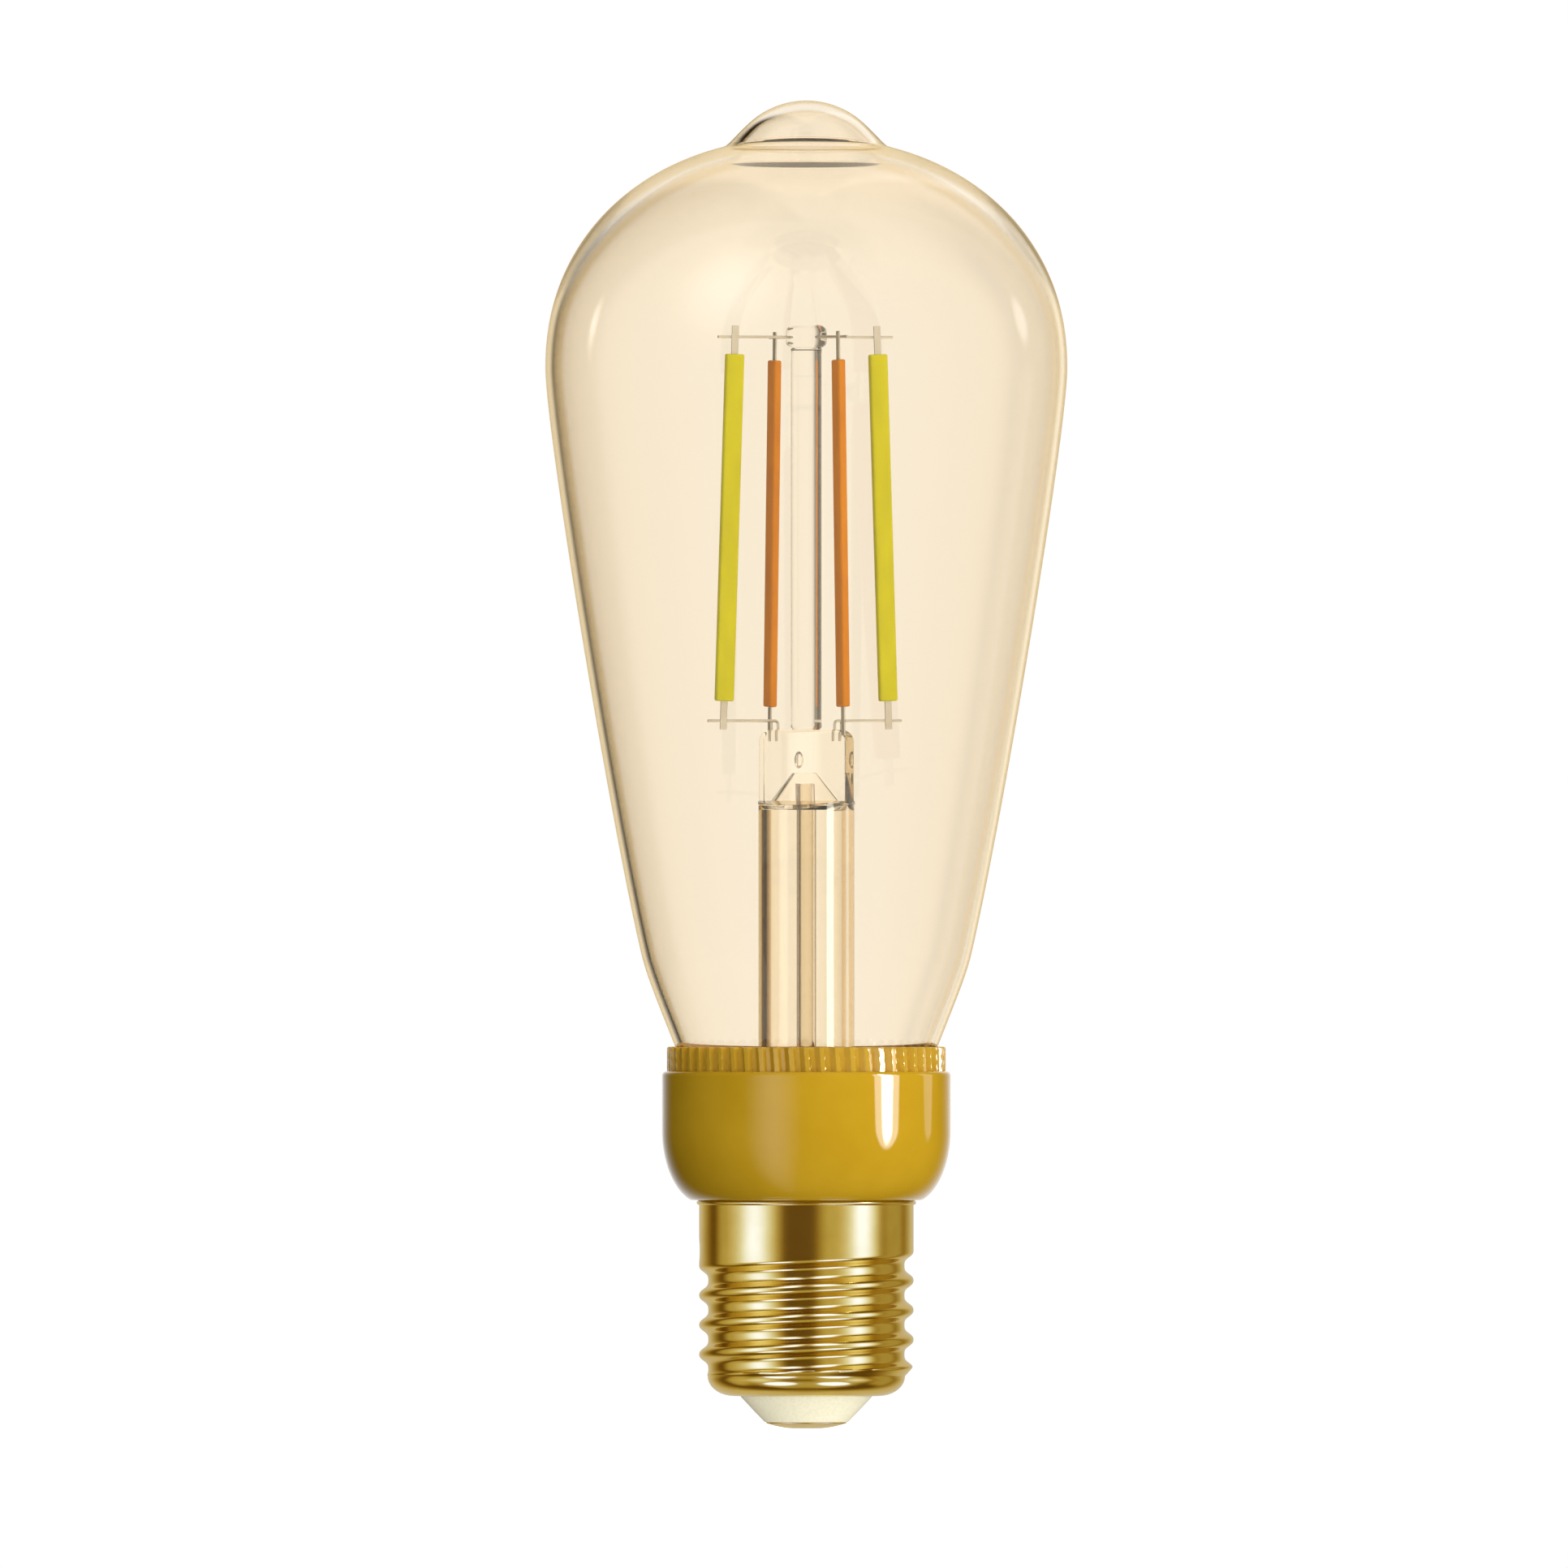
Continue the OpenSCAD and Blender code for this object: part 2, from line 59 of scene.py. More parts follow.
SHELL_TURN = math.radians(24.0)
WHITE = (1.0, 1.0, 1.0, 1.0)
Array = np.ndarray
Skin = tuple[Array, list]
Tree = bpy.types.NodeTree
Socket = bpy.types.NodeSocket
Piece = bpy.types.Object


# ---------------------------------------------------------------- measures


def box_mm(node: str) -> tuple[Array, Array]:
    """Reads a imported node's lowest and highest corners, in millimetres."""
    low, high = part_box(node)
    return np.array(low) / MM, np.array(high) / MM


def rotated(x: Array, y: Array, angle: float) -> tuple[Array, Array]:
    """Turns flat points about the origin by an angle in radians."""
    cosine, sine = math.cos(angle), math.sin(angle)
    return x * cosine - y * sine, x * sine + y * cosine


def outward(angle: float) -> Array:
    """Flat unit vector at an angle round the axis, in radians from +X."""
    return np.array((math.cos(angle), math.sin(angle), 0.0))


def smoothstep(low: float, high: float, value: Array) -> Array:
    """Eases from 0 at low to 1 at high: 3t squared less 2t cubed."""
    t = np.clip((value - low) / (high - low), 0.0, 1.0)
    return t * t * (3.0 - 2.0 * t)


def smooth_max(a: Array, b: Array, blend: float) -> Array:
    """Takes the larger value, rounding the corner over the blend width."""
    near = np.clip(blend - np.abs(a - b), 0.0, None) / blend
    return np.maximum(a, b) + near * near * blend / 4.0


def smooth_min(a: Array, b: Array, blend: float) -> Array:
    """Takes the smaller value, rounding the corner over the blend width."""
    return -smooth_max(-a, -b, blend)


def bezier(points: Array, t: Array) -> Array:
    """Evaluates a cubic Bezier curve.

    Args:
        points: Four control points, one to a row.
        t: Parameters from 0 to 1.

    Returns:
        One point to a row, the cubic Bernstein blend of the four.
    """
    t = t[:, None]
    weights = ((1 - t) ** 3, 3 * (1 - t) ** 2 * t, 3 * (1 - t) * t**2, t**3)
    return sum(w * p for w, p in zip(weights, points))


def offset_curve(curve: Array, distance: Array) -> Array:
    """Moves a flat curve sideways, square to itself.

    Args:
        curve: Points of radius and height, in order.
        distance: How far each point moves to the right of the direction of travel.

    Returns:
        The moved points; their radii never pass below zero.
    """
    step = np.gradient(curve, axis=0)
    step /= np.linalg.norm(step, axis=1, keepdims=True)
    moved = curve + np.column_stack((step[:, 1], -step[:, 0])) * distance[:, None]
    moved[:, 0] = np.clip(moved[:, 0], 0.0, None)
    return moved


def arc(centre: tuple[float, float], radius: float, start: float, end: float, count: int) -> Array:
    """Points on a circular arc, as radius and height; angles are degrees from the outward direction."""
    a = np.radians(np.linspace(start, end, count))
    return np.column_stack((centre[0] + radius * np.cos(a), centre[1] + radius * np.sin(a)))


# ------------------------------------------------------------------ meshes


def new_object(name: str, points: Array, faces: list, crease: float) -> Piece:
    """Makes a smooth-shaded mesh object in the scene.

    Args:
        name: Name of the piece.
        points: Vertices in millimetres.
        faces: Corner lists, turned so that faces point outwards.
        crease: Angle in degrees above which an edge stays sharp.

    Returns:
        The object, at the origin, with its place in its mesh.
    """
    mesh = bpy.data.meshes.new(name)
    mesh.from_pydata((points * MM).tolist(), [], faces)
    mesh.polygons.foreach_set("use_smooth", np.ones(len(mesh.polygons), bool))
    mesh.set_sharp_from_angle(angle=math.radians(crease))
    mesh.validate()
    mesh.update()
    piece = bpy.data.objects.new(name, mesh)
    bpy.context.scene.collection.objects.link(piece)
    return piece


def grid_surface(grid: Array, closed: bool = False, low_pole=None, high_pole=None) -> Skin:
    """Joins rings of points into a skin.

    The columns run anticlockwise about the piece and the rows run up its outside, so
    each quad is lower-left, lower-right, upper-right, upper-left as seen from outside.

    Args:
        grid: Points indexed by row, column and coordinate.
        closed: Whether the last row joins the first, as on a wall with two faces.
        low_pole: A point that closes the first row with a fan, or None.
        high_pole: A point that closes the last row with a fan, or None.

    Returns:
        The points and the faces.
    """
    rows, columns = grid.shape[:2]
    index = np.arange(rows * columns).reshape(rows, columns)
    lower = index if closed else index[:-1]
    upper = np.roll(index, -1, axis=0) if closed else index[1:]
    quads = np.stack((lower, np.roll(lower, -1, 1), np.roll(upper, -1, 1), upper), -1)
    points, faces = [grid.reshape(-1, 3)], quads.reshape(-1, 4).tolist()
    fans = ((low_pole, np.roll(index[0], -1), index[0]), (high_pole, index[-1], np.roll(index[-1], -1)))
    for pole, first, second in fans:
        if pole is not None:
            hub = np.full(columns, rows * columns + len(points) - 1)
            faces += np.stack((hub, first, second), -1).tolist()
            points.append(np.asarray(pole, float).reshape(1, 3))
    return np.vstack(points), faces


def round_grid(radius: Array, height: Array, columns: int) -> Array:
    """Places rings round the axis, from a radius by row (and column) and a height by row."""
    angle = np.arange(columns) * TAU / columns
    x, y = radius * np.cos(angle), radius * np.sin(angle)
    return np.stack((x, y, np.broadcast_to(height[:, None], x.shape)), -1)


def turned_grid(profile: Array, columns: int) -> Array:
    """Carries a profile of radius and height once round the axis."""
    return round_grid(profile[:, :1], profile[:, 1], columns)


def solid(profile: Array, columns: int) -> Skin:
    """Turns a profile that starts and ends on the axis."""
    poles = [(0.0, 0.0, profile[end, 1]) for end in (0, -1)]
    return grid_surface(turned_grid(profile[1:-1], columns), False, *poles)


def turned(name: str, profile: Array, columns: int, closed: bool, crease: float) -> Piece:
    """Makes a turned piece from a profile of radius and height.

    Args:
        name: Name of the piece.
        profile: Up the outside; a wall goes on down the inside, a solid starts and ends on the axis.
        columns: Points round the axis.
        closed: True for a wall or ring, False for a solid.
        crease: Angle in degrees above which an edge stays sharp.

    Returns:
        The turned piece.
    """
    skin = grid_surface(turned_grid(profile, columns), True) if closed else solid(profile, columns)
    return new_object(name, *skin, crease)


def squared_ring(half_x: Array, half_y: Array, power: Array, columns: int) -> Array:
    """Rings whose outline eases from an ellipse (power 2) to a rounded bar (higher powers).

    Each ring follows x = a sign(c)|c|^(2/n) and y = b sign(s)|s|^(2/n), with c and s the
    cosine and sine of the angle round it.

    Args:
        half_x: Half width of each ring.
        half_y: Half thickness of each ring.
        power: Squareness n of each ring.
        columns: Points round each ring.

    Returns:
        Points indexed by ring, column and the two flat coordinates.
    """
    angle = np.arange(columns) * TAU / columns
    cosine, sine = np.cos(angle), np.sin(angle)
    root = 2.0 / power[:, None]
    x = half_x[:, None] * np.sign(cosine) * np.abs(cosine) ** root
    y = half_y[:, None] * np.sign(sine) * np.abs(sine) ** root
    return np.stack((x, y), -1)


def bar(half_w: float, half_t: float, length: float, edge: float, power: float, columns: int) -> Skin:
    """A straight bar along Z with rounded ends, centred on the origin.

    Its section is a squared ring, and over the last stretch at each end, as long as the
    edge radius, the ring shrinks along a quarter circle.

    Args:
        half_w: Half width along X.
        half_t: Half thickness along Y.
        length: Overall length.
        edge: Radius of the rounded ends.
        power: Squareness of the section.
        columns: Points round the section.

    Returns:
        The points and the faces.
    """
    quarter = np.linspace(0.0, math.pi / 2, 6)
    shrink = edge * (1.0 - np.sin(quarter))
    rise = edge * (1.0 - np.cos(quarter))
    body = np.linspace(edge, length - edge, 24)[1:-1]
    z = np.concatenate((rise, body, length - rise[::-1])) - length / 2
    inset = np.concatenate((shrink, np.zeros(len(body)), shrink[::-1]))
    rings = squared_ring(half_w - inset, half_t - inset, np.full(len(z), power), columns)
    grid = np.concatenate((rings, np.broadcast_to(z[:, None, None], rings.shape[:2] + (1,))), -1)
    return grid_surface(grid, False, (0.0, 0.0, z[0]), (0.0, 0.0, z[-1]))


def swept(route: Array, radius: float, columns: int = 14) -> Skin:
    """Carries a circle along a route, with its ends closed.

    At each point the circle lies square to the route's tangent; its two axes come from one
    fixed side direction made square to the tangent, so the tube never twists.

    Args:
        route: Points of the centre line.
        radius: Radius of the wire.
        columns: Points round the wire.

    Returns:
        The points and the faces.
    """
    tangent = np.gradient(route, axis=0)
    tangent /= np.linalg.norm(tangent, axis=1, keepdims=True)
    chord = route[-1] - route[0]
    side = np.cross((0.0, 0.0, 1.0), chord)
    if np.linalg.norm(side) < 1e-6:
        side = np.array((1.0, 0.0, 0.0))
    first = side - tangent * (tangent @ side)[:, None]
    first /= np.linalg.norm(first, axis=1, keepdims=True)
    second = np.cross(tangent, first)
    angle = np.arange(columns) * TAU / columns
    spokes = np.cos(angle)[None, :, None] * first[:, None] + np.sin(angle)[None, :, None] * second[:, None]
    return grid_surface(route[:, None] + radius * spokes, False, route[0], route[-1])


def rounded_route(corners: Array, bend: float, step: float = 0.35) -> Array:
    """A route through a list of corners, each rounded by a quadratic curve.

    Args:
        corners: Start, turning points and end.
        bend: Distance from a corner at which its curve starts and ends.
        step: Spacing of the points along the straights.

    Returns:
        Points of the route.
    """
    pieces = []
    start = corners[0]
    for before, corner, after in zip(corners[:-2], corners[1:-1], corners[2:]):
        into = (corner - before) / np.linalg.norm(corner - before)
        out = (after - corner) / np.linalg.norm(after - corner)
        enter, leave = corner - into * bend, corner + out * bend
        t = np.linspace(0.0, 1.0, 9)[:, None]
        pieces.append(straight(start, enter, step)[:-1])
        pieces.append((1 - t) ** 2 * enter + 2 * (1 - t) * t * corner + t**2 * leave)
        start = leave
    return np.vstack((*pieces, straight(start, corners[-1], step)[1:]))


def straight(start: Array, end: Array, step: float) -> Array:
    """Evenly spaced points from start to end."""
    count = max(int(np.linalg.norm(end - start) / step), 1) + 1
    return start + (end - start) * np.linspace(0.0, 1.0, count)[:, None]


def merged(parts: list[Skin]) -> Skin:
    """Puts several skins into one list of points and faces."""
    points, faces, count = [], [], 0
    for part_points, part_faces in parts:
        points.append(part_points)
        faces += [[corner + count for corner in face] for face in part_faces]
        count += len(part_points)
    return np.vstack(points), faces


def two_faced(outer: Array, inner: Array, top: float, roof: float) -> Skin:
    """Joins the two faces of a wall: a fan on top of each, and a rim where they meet at the foot.

    Args:
        outer: Rings up the outside.
        inner: Rings down the inside.
        top: Height of the point that closes the outside.
        roof: Height of the point that closes the inside.

    Returns:
        The points and the faces.
    """
    outside = grid_surface(outer, False, None, (0.0, 0.0, top))
    points, faces = merged([outside, grid_surface(inner, False, (0.0, 0.0, roof), None)])
    first = np.arange(outer.shape[1])
    last = len(outside[0]) + (len(inner) - 1) * len(first) + first
    return points, faces + np.stack((last, np.roll(last, -1), np.roll(first, -1), first), -1).tolist()


# --------------------------------------------------------------- materials


def linear(shade: str) -> tuple[float, float, float, float]:
    """Turns an sRGB hex colour into linear red, green, blue and alpha."""
    channels = np.array([int(shade[i : i + 2], 16) for i in (1, 3, 5)]) / 255.0
    low = channels / 12.92
    high = ((channels + 0.055) / 1.055) ** 2.4
    red, green, blue = np.where(channels <= 0.04045, low, high)
    return float(red), float(green), float(blue), 1.0


def add_node(tree: Tree, kind: str, inputs: dict | None = None, **settings) -> bpy.types.Node:
    """Adds a shader node with its settings and links.

    Args:
        tree: The node tree.
        kind: The node's type name, less its "ShaderNode".
        inputs: Socket name or number to a value, or to the output that feeds it.
        **settings: Properties set on the node.

    Returns:
        The new node.
    """
    node = tree.nodes.new(f"ShaderNode{kind}")
    for name, value in settings.items():
        setattr(node, name, value)
    for key, value in (inputs or {}).items():
        if isinstance(value, Socket):
            tree.links.new(value, node.inputs[key])
        else:
            node.inputs[key].default_value = value
    return node


def calculate(tree: Tree, operation: str, *values: float | Socket) -> Socket:
    """Adds a math node and returns its value."""
    return add_node(tree, "Math", dict(enumerate(values)), operation=operation).outputs[0]


def ramp(tree: Tree, factor: Socket, *stops: tuple[float, str]) -> Socket:
    """Adds a colour ramp of sRGB hex stops and returns its colour."""
    node = add_node(tree, "ValToRGB", {"Fac": factor})
    elements = node.color_ramp.elements
    while len(elements) < len(stops):
        elements.new(0.5)
    for element, (place, shade) in zip(elements, stops):
        element.position = place
        element.color = linear(shade)
    return node.outputs["Color"]


def blank_material(name: str) -> tuple[bpy.types.Material, Tree]:
    """Makes a material with an empty tree."""
    material = bpy.data.materials.new(name)
    material.use_nodes = True
    material.node_tree.nodes.clear()
    return material, material.node_tree


def bumped(tree: Tree, height: Socket, strength: float, rise: float) -> Socket:
    """Turns a height into a surface normal; the rise is the relief's depth in millimetres."""
    return add_node(tree, "Bump", {"Height": height, "Strength": strength, "Distance": rise * MM}).outputs[0]


def spread(tree: Tree, value: Socket, middle: float, low: float, high: float) -> Socket:
    """Maps 0 to 1 onto a middle value times low to high."""
    return add_node(tree, "MapRange", {"Value": value, 3: middle * low, 4: middle * high}).outputs[0]


def eased(tree: Tree, value: Socket, *ends: float) -> Socket:
    """Maps one range onto another with soft ends: from low, from high, to low, to high."""
    inputs = {"Value": value, **dict(enumerate(ends, 1))}
    return add_node(tree, "MapRange", inputs, interpolation_type="SMOOTHSTEP").outputs[0]


def object_noise(tree: Tree, grain: float, detail: float, stretch: tuple = (1, 1, 1)) -> Socket:
    """Adds noise on Object coordinates.

    Args:
        tree: The node tree.
        grain: Size of a grain in millimetres.
        detail: Octaves of finer noise.
        stretch: Scale along each axis; a smaller number draws the grain out.

    Returns:
        The noise value.
    """
    place = add_node(tree, "TexCoord").outputs["Object"]
    mapped = add_node(tree, "Mapping", {"Vector": place, "Scale": stretch}).outputs[0]
    inputs = {"Vector": mapped, "Scale": 1.0 / (grain * MM), "Detail": detail}
    return add_node(tree, "TexNoise", inputs).outputs["Fac"]


def round_noise(tree: Tree, grain: float, draw: float) -> Socket:
    """Noise drawn out round the axis, as a lathe or a roller leaves it.

    The pattern is read at the point's height, with a slow term in the angle, so each
    line runs round the piece.

    Args:
        tree: The node tree.
        grain: Height of a line in millimetres.
        draw: How fast the pattern changes round the axis.

    Returns:
        The noise value.
    """
    place = add_node(tree, "TexCoord").outputs["Object"]
    parts = add_node(tree, "SeparateXYZ", {0: place}).outputs
    turn = calculate(tree, "COSINE", calculate(tree, "ARCTAN2", parts[1], parts[0]))
    slow = calculate(tree, "MULTIPLY", turn, draw * MM)
    ring = add_node(tree, "CombineXYZ", {0: slow, 2: parts[2]}).outputs[0]
    return add_node(tree, "TexNoise", {"Vector": ring, "Scale": 1.0 / (grain * MM), "Detail": 2.0}).outputs["Fac"]


def finish_with(tree: Tree, shader: bpy.types.Node) -> None:
    """Links a shader to the material's output."""
    add_node(tree, "OutputMaterial", {"Surface": shader.outputs[0]})


@dataclass(frozen=True)
class Glass:
    """Blown or drawn soda-lime glass: clear, with a tint that deepens where it is seen edge-on.

    The band is how far a surface turns away, from 0 to 1, before a line of sight stays
    inside the wall from one side to the other and takes the tint of the edge. Where the
    edge colour is much deeper than the face, as on the stem and the exhaust tube, it is
    partly the glass's own tint and partly painted shade for the dark edges that refraction gives.
    """

    name: str
    face: str
    turned_away: str
    edge: str
    band: float = 0.76
    ior: float = 1.5
    ripple_mm: float = 9.0
    ripple_depth: float = 0.02

    def material(self) -> bpy.types.Material:
        """Builds the material; lamps and bounced light pass straight through it."""
        material, tree = blank_material(self.name)
        facing = add_node(tree, "LayerWeight", {"Blend": 0.5}).outputs["Facing"]
        stops = (0.0, self.face), (self.band - 0.06, self.turned_away), (self.band, self.edge)
        inputs = {
            "Base Color": ramp(tree, facing, *stops),
            "Normal": bumped(tree, object_noise(tree, self.ripple_mm, 1.0, (1.0, 1.0, 0.4)), self.ripple_depth, 0.2),
            "Roughness": 0.0,
            "IOR": self.ior,
            "Transmission Weight": 1.0,
        }
        glass = add_node(tree, "BsdfPrincipled", inputs).outputs[0]
        clear = add_node(tree, "BsdfTransparent", {"Color": linear(self.face)}).outputs[0]
        path = add_node(tree, "LightPath").outputs
        passes = calculate(tree, "MAXIMUM", path["Is Shadow Ray"], path["Is Diffuse Ray"])
        finish_with(tree, add_node(tree, "MixShader", {0: passes, 1: glass, 2: clear}))
        return material


class Surface:
    """An opaque finish: one principled surface, whose inputs each kind of finish works out."""

    def material(self) -> bpy.types.Material:
        """Builds the material."""
        material, tree = blank_material(self.name)
        finish_with(tree, add_node(tree, "BsdfPrincipled", self.inputs(tree)))
        return material


@dataclass(frozen=True)
class MouldedPlastic(Surface):
    """Injection-moulded ABS with a polished tool finish: even colour, sharp gloss, a faint orange peel."""

    name: str
    shade: str
    shade_low: str
    roughness: float = 0.04
    peel_mm: float = 1.6
    peel_depth: float = 0.03
    mottle_mm: float = 7.0
    ior: float = 1.5

    def inputs(self, tree: Tree) -> dict:
        """Mottled pigment, uneven gloss and peel."""
        mottle = object_noise(tree, self.mottle_mm, 3.0)
        return {
            "Base Color": ramp(tree, mottle, (0.3, self.shade_low), (0.7, self.shade)),
            "Roughness": spread(tree, mottle, self.roughness, 0.8, 1.25),
            "IOR": self.ior,
            "Normal": bumped(tree, object_noise(tree, self.peel_mm, 1.0), self.peel_depth, 0.05),
        }


@dataclass(frozen=True)
class RolledMetal(Surface):
    """Bright sheet or drawn wire: metal whose fine lines run round the piece, a little duller in patches."""

    name: str
    shade: str
    shade_dull: str
    roughness: float
    line_mm: float = 0.12
    line_depth: float = 0.1
    patch_mm: float = 4.0

    def inputs(self, tree: Tree) -> dict:
        """The lines are drawn about twice as coarse as real ones so that they show."""
        patch = object_noise(tree, self.patch_mm, 3.0)
        lines = round_noise(tree, self.line_mm, 0.6)
        return {
            "Base Color": ramp(tree, patch, (0.25, self.shade_dull), (0.6, self.shade)),
            "Metallic": 1.0,
            "Roughness": spread(tree, lines, self.roughness, 0.75, 1.3),
            "Normal": bumped(tree, lines, self.line_depth, 0.01),
        }


@dataclass(frozen=True)
class PhosphorSilicone(Surface):
    """Silicone loaded with phosphor powder: a soft satin skin with a fine grain and a little light inside it."""

    name: str
    shade: str
    shade_deep: str
    grain_mm: float = 0.12
    cloud_mm: float = 1.8
    roughness: float = 0.42

    def inputs(self, tree: Tree) -> dict:
        """Powder grain and slow clouds of thicker coating."""
        cloud = object_noise(tree, self.cloud_mm, 2.0, (1.0, 1.0, 0.35))
        return {
            "Base Color": ramp(tree, cloud, (0.3, self.shade_deep), (0.65, self.shade)),
            "Roughness": self.roughness,
            "IOR": 1.41,
            "Specular IOR Level": 0.15,
            "Normal": bumped(tree, object_noise(tree, self.grain_mm, 2.0), 0.25, 0.02),
        }


@dataclass(frozen=True)
class Speckled(Surface):
    """A plain body with a fine speckle, such as sintered ceramic, epoxy, cement or a lacquered part."""

    name: str
    shade: str
    fleck: str
    grain_mm: float
    roughness: float
    metallic: float = 0.0
    depth: float = 0.15

    def inputs(self, tree: Tree) -> dict:
        """Flecks in the colour and the same flecks as relief."""
        grain = object_noise(tree, self.grain_mm, 4.0)
        return {
            "Base Color": ramp(tree, grain, (0.35, self.fleck), (0.58, self.shade)),
            "Roughness": spread(tree, grain, self.roughness, 0.85, 1.15),
            "Metallic": self.metallic,
            "Normal": bumped(tree, grain, self.depth, 0.04),
        }


@dataclass(frozen=True)
class CircuitBoard(Surface):
    """Solder mask over glass-epoxy laminate: fine woven relief and copper tracks that show through."""

    name: str
    mask: str
    track: str
    track_mm: float = 1.6

    def inputs(self, tree: Tree) -> dict:
        """Tracks are the lighter lines of a square pattern."""
        cells = {
            "Vector": add_node(tree, "TexCoord").outputs["Object"],
            "Color1": linear(self.mask),
            "Color2": linear(self.mask),
            "Mortar": linear(self.track),
            "Scale": 1.0 / (self.track_mm * 4 * MM),
            "Mortar Size": 0.04,
        }
        return {
            "Base Color": add_node(tree, "TexBrick", cells).outputs["Color"],
            "Roughness": 0.35,
            "Normal": bumped(tree, object_noise(tree, 0.4, 2.0), 0.1, 0.03),
        }


class Finish(Enum):
    """Every finish on the lamp, named for what the piece is made of."""

    AMBER_GLASS = Glass("amber_glass", "#FBF4E7", "#F8ECD8", "#E4CA96", ripple_depth=0.004)
    # Stem and exhaust edge colours: partly the glass's own tint, partly painted shade for the dark edges that
    # refraction gives.
    STEM_GLASS = Glass("stem_glass", "#FEFBF5", "#FAF0DC", "#D9AE66", 0.56, ripple_depth=0.0)
    EXHAUST_GLASS = Glass("exhaust_glass", "#F7F0E0", "#F0E2C8", "#7E5C2C", 0.55, ripple_depth=0.0)
    ROD_GLASS = Glass("rod_glass", "#FFFEFC", "#FFFCF5", "#F4E6CC", 0.93, ripple_depth=0.0)
    COLLAR_ABS = MouldedPlastic("mustard_abs", "#C79D22", "#BF951C")
    RING_ABS = MouldedPlastic("ochre_abs", "#CBA234", "#BE9428", roughness=0.07, peel_mm=0.8)
    BRASS_SHEET = RolledMetal("gilt_brass_sheet", "#E8CC6C", "#E0C262", 0.14, line_depth=0.02)
    CONTACT_BRASS = RolledMetal("stamped_brass", "#E9D084", "#DFC36E", 0.22)
    NICKEL_WIRE = RolledMetal("nickel_wire", "#E2DED4", "#D2CCBE", 0.42, line_mm=0.05)
    CREAM_INSULATOR = Speckled("cream_insulator", "#DCD6BA", "#D6CFB0", 0.35, 0.4, depth=0.03)
    YELLOW_PHOSPHOR = PhosphorSilicone("yellow_phosphor", "#BABA00", "#B0B000")
    ORANGE_PHOSPHOR = PhosphorSilicone("orange_phosphor", "#C27C04", "#B87200")
    CERAMIC_STRIP = Speckled("sintered_ceramic", "#EDECE6", "#DCDAD0", 0.2, 0.6)
    LED_DIE = Speckled("gallium_die", "#7F95D8", "#5B70B4", 0.1, 0.15)
    CEMENT = Speckled("cured_cement", "#DED6C4", "#C4BAA4", 0.5, 0.8, depth=0.5)
    BOARD = CircuitBoard("solder_mask", "#1F5B37", "#2F7A4C")
    CAN_SLEEVE = Speckled("capacitor_sleeve", "#2A3048", "#20263A", 1.2, 0.3)
    FERRITE = Speckled("ferrite", "#3B3936", "#2C2A28", 0.2, 0.7)
    EPOXY = Speckled("moulded_epoxy", "#262626", "#1B1B1B", 0.15, 0.5)
    LACQUER = Speckled("resistor_lacquer", "#8FB2C4", "#7A9FB4", 0.4, 0.35)
    TINPLATE = Speckled("tinplate", "#C9C9C6", "#B8B8B4", 0.6, 0.3, metallic=1.0)
    GILT_PIN = Speckled("gilt_pin", "#E3C06A", "#D4AE55", 0.2, 0.3, metallic=1.0)
    RED_LEAD = Speckled("red_insulation", "#B5332A", "#A32A22", 0.3, 0.45)
    BLUE_LEAD = Speckled("blue_insulation", "#3550A8", "#2C4594", 0.3, 0.45)


class Workshop:
    """Makes each material once and files every piece with its body and node."""

    def __init__(self) -> None:
        """Starts with no materials made."""
        self._made: dict[Finish, bpy.types.Material] = {}

    def coat(self, piece: Piece, finish: Finish) -> None:
        """Gives a piece its finish's material, made on first use."""
        if finish not in self._made:
            self._made[finish] = finish.value.material()
        piece.data.materials.clear()
        piece.data.materials.append(self._made[finish])

    def file(self, piece: Piece, finish: Finish, slot: str, *nodes: str) -> None:
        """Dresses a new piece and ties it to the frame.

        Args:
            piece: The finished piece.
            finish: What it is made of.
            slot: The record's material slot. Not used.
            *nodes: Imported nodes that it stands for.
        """
        self.coat(piece, finish)
        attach(piece, "root")
        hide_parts(*nodes)
        LOG.info("%s stands for %s", piece.name, ", ".join(nodes))

    def dress(self, node: str, finish: Finish) -> None:
        """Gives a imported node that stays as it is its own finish."""
        self.coat(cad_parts[node], finish)
        LOG.info("%s keeps its packed shape", node)


# ------------------------------------------------------------- assemblies


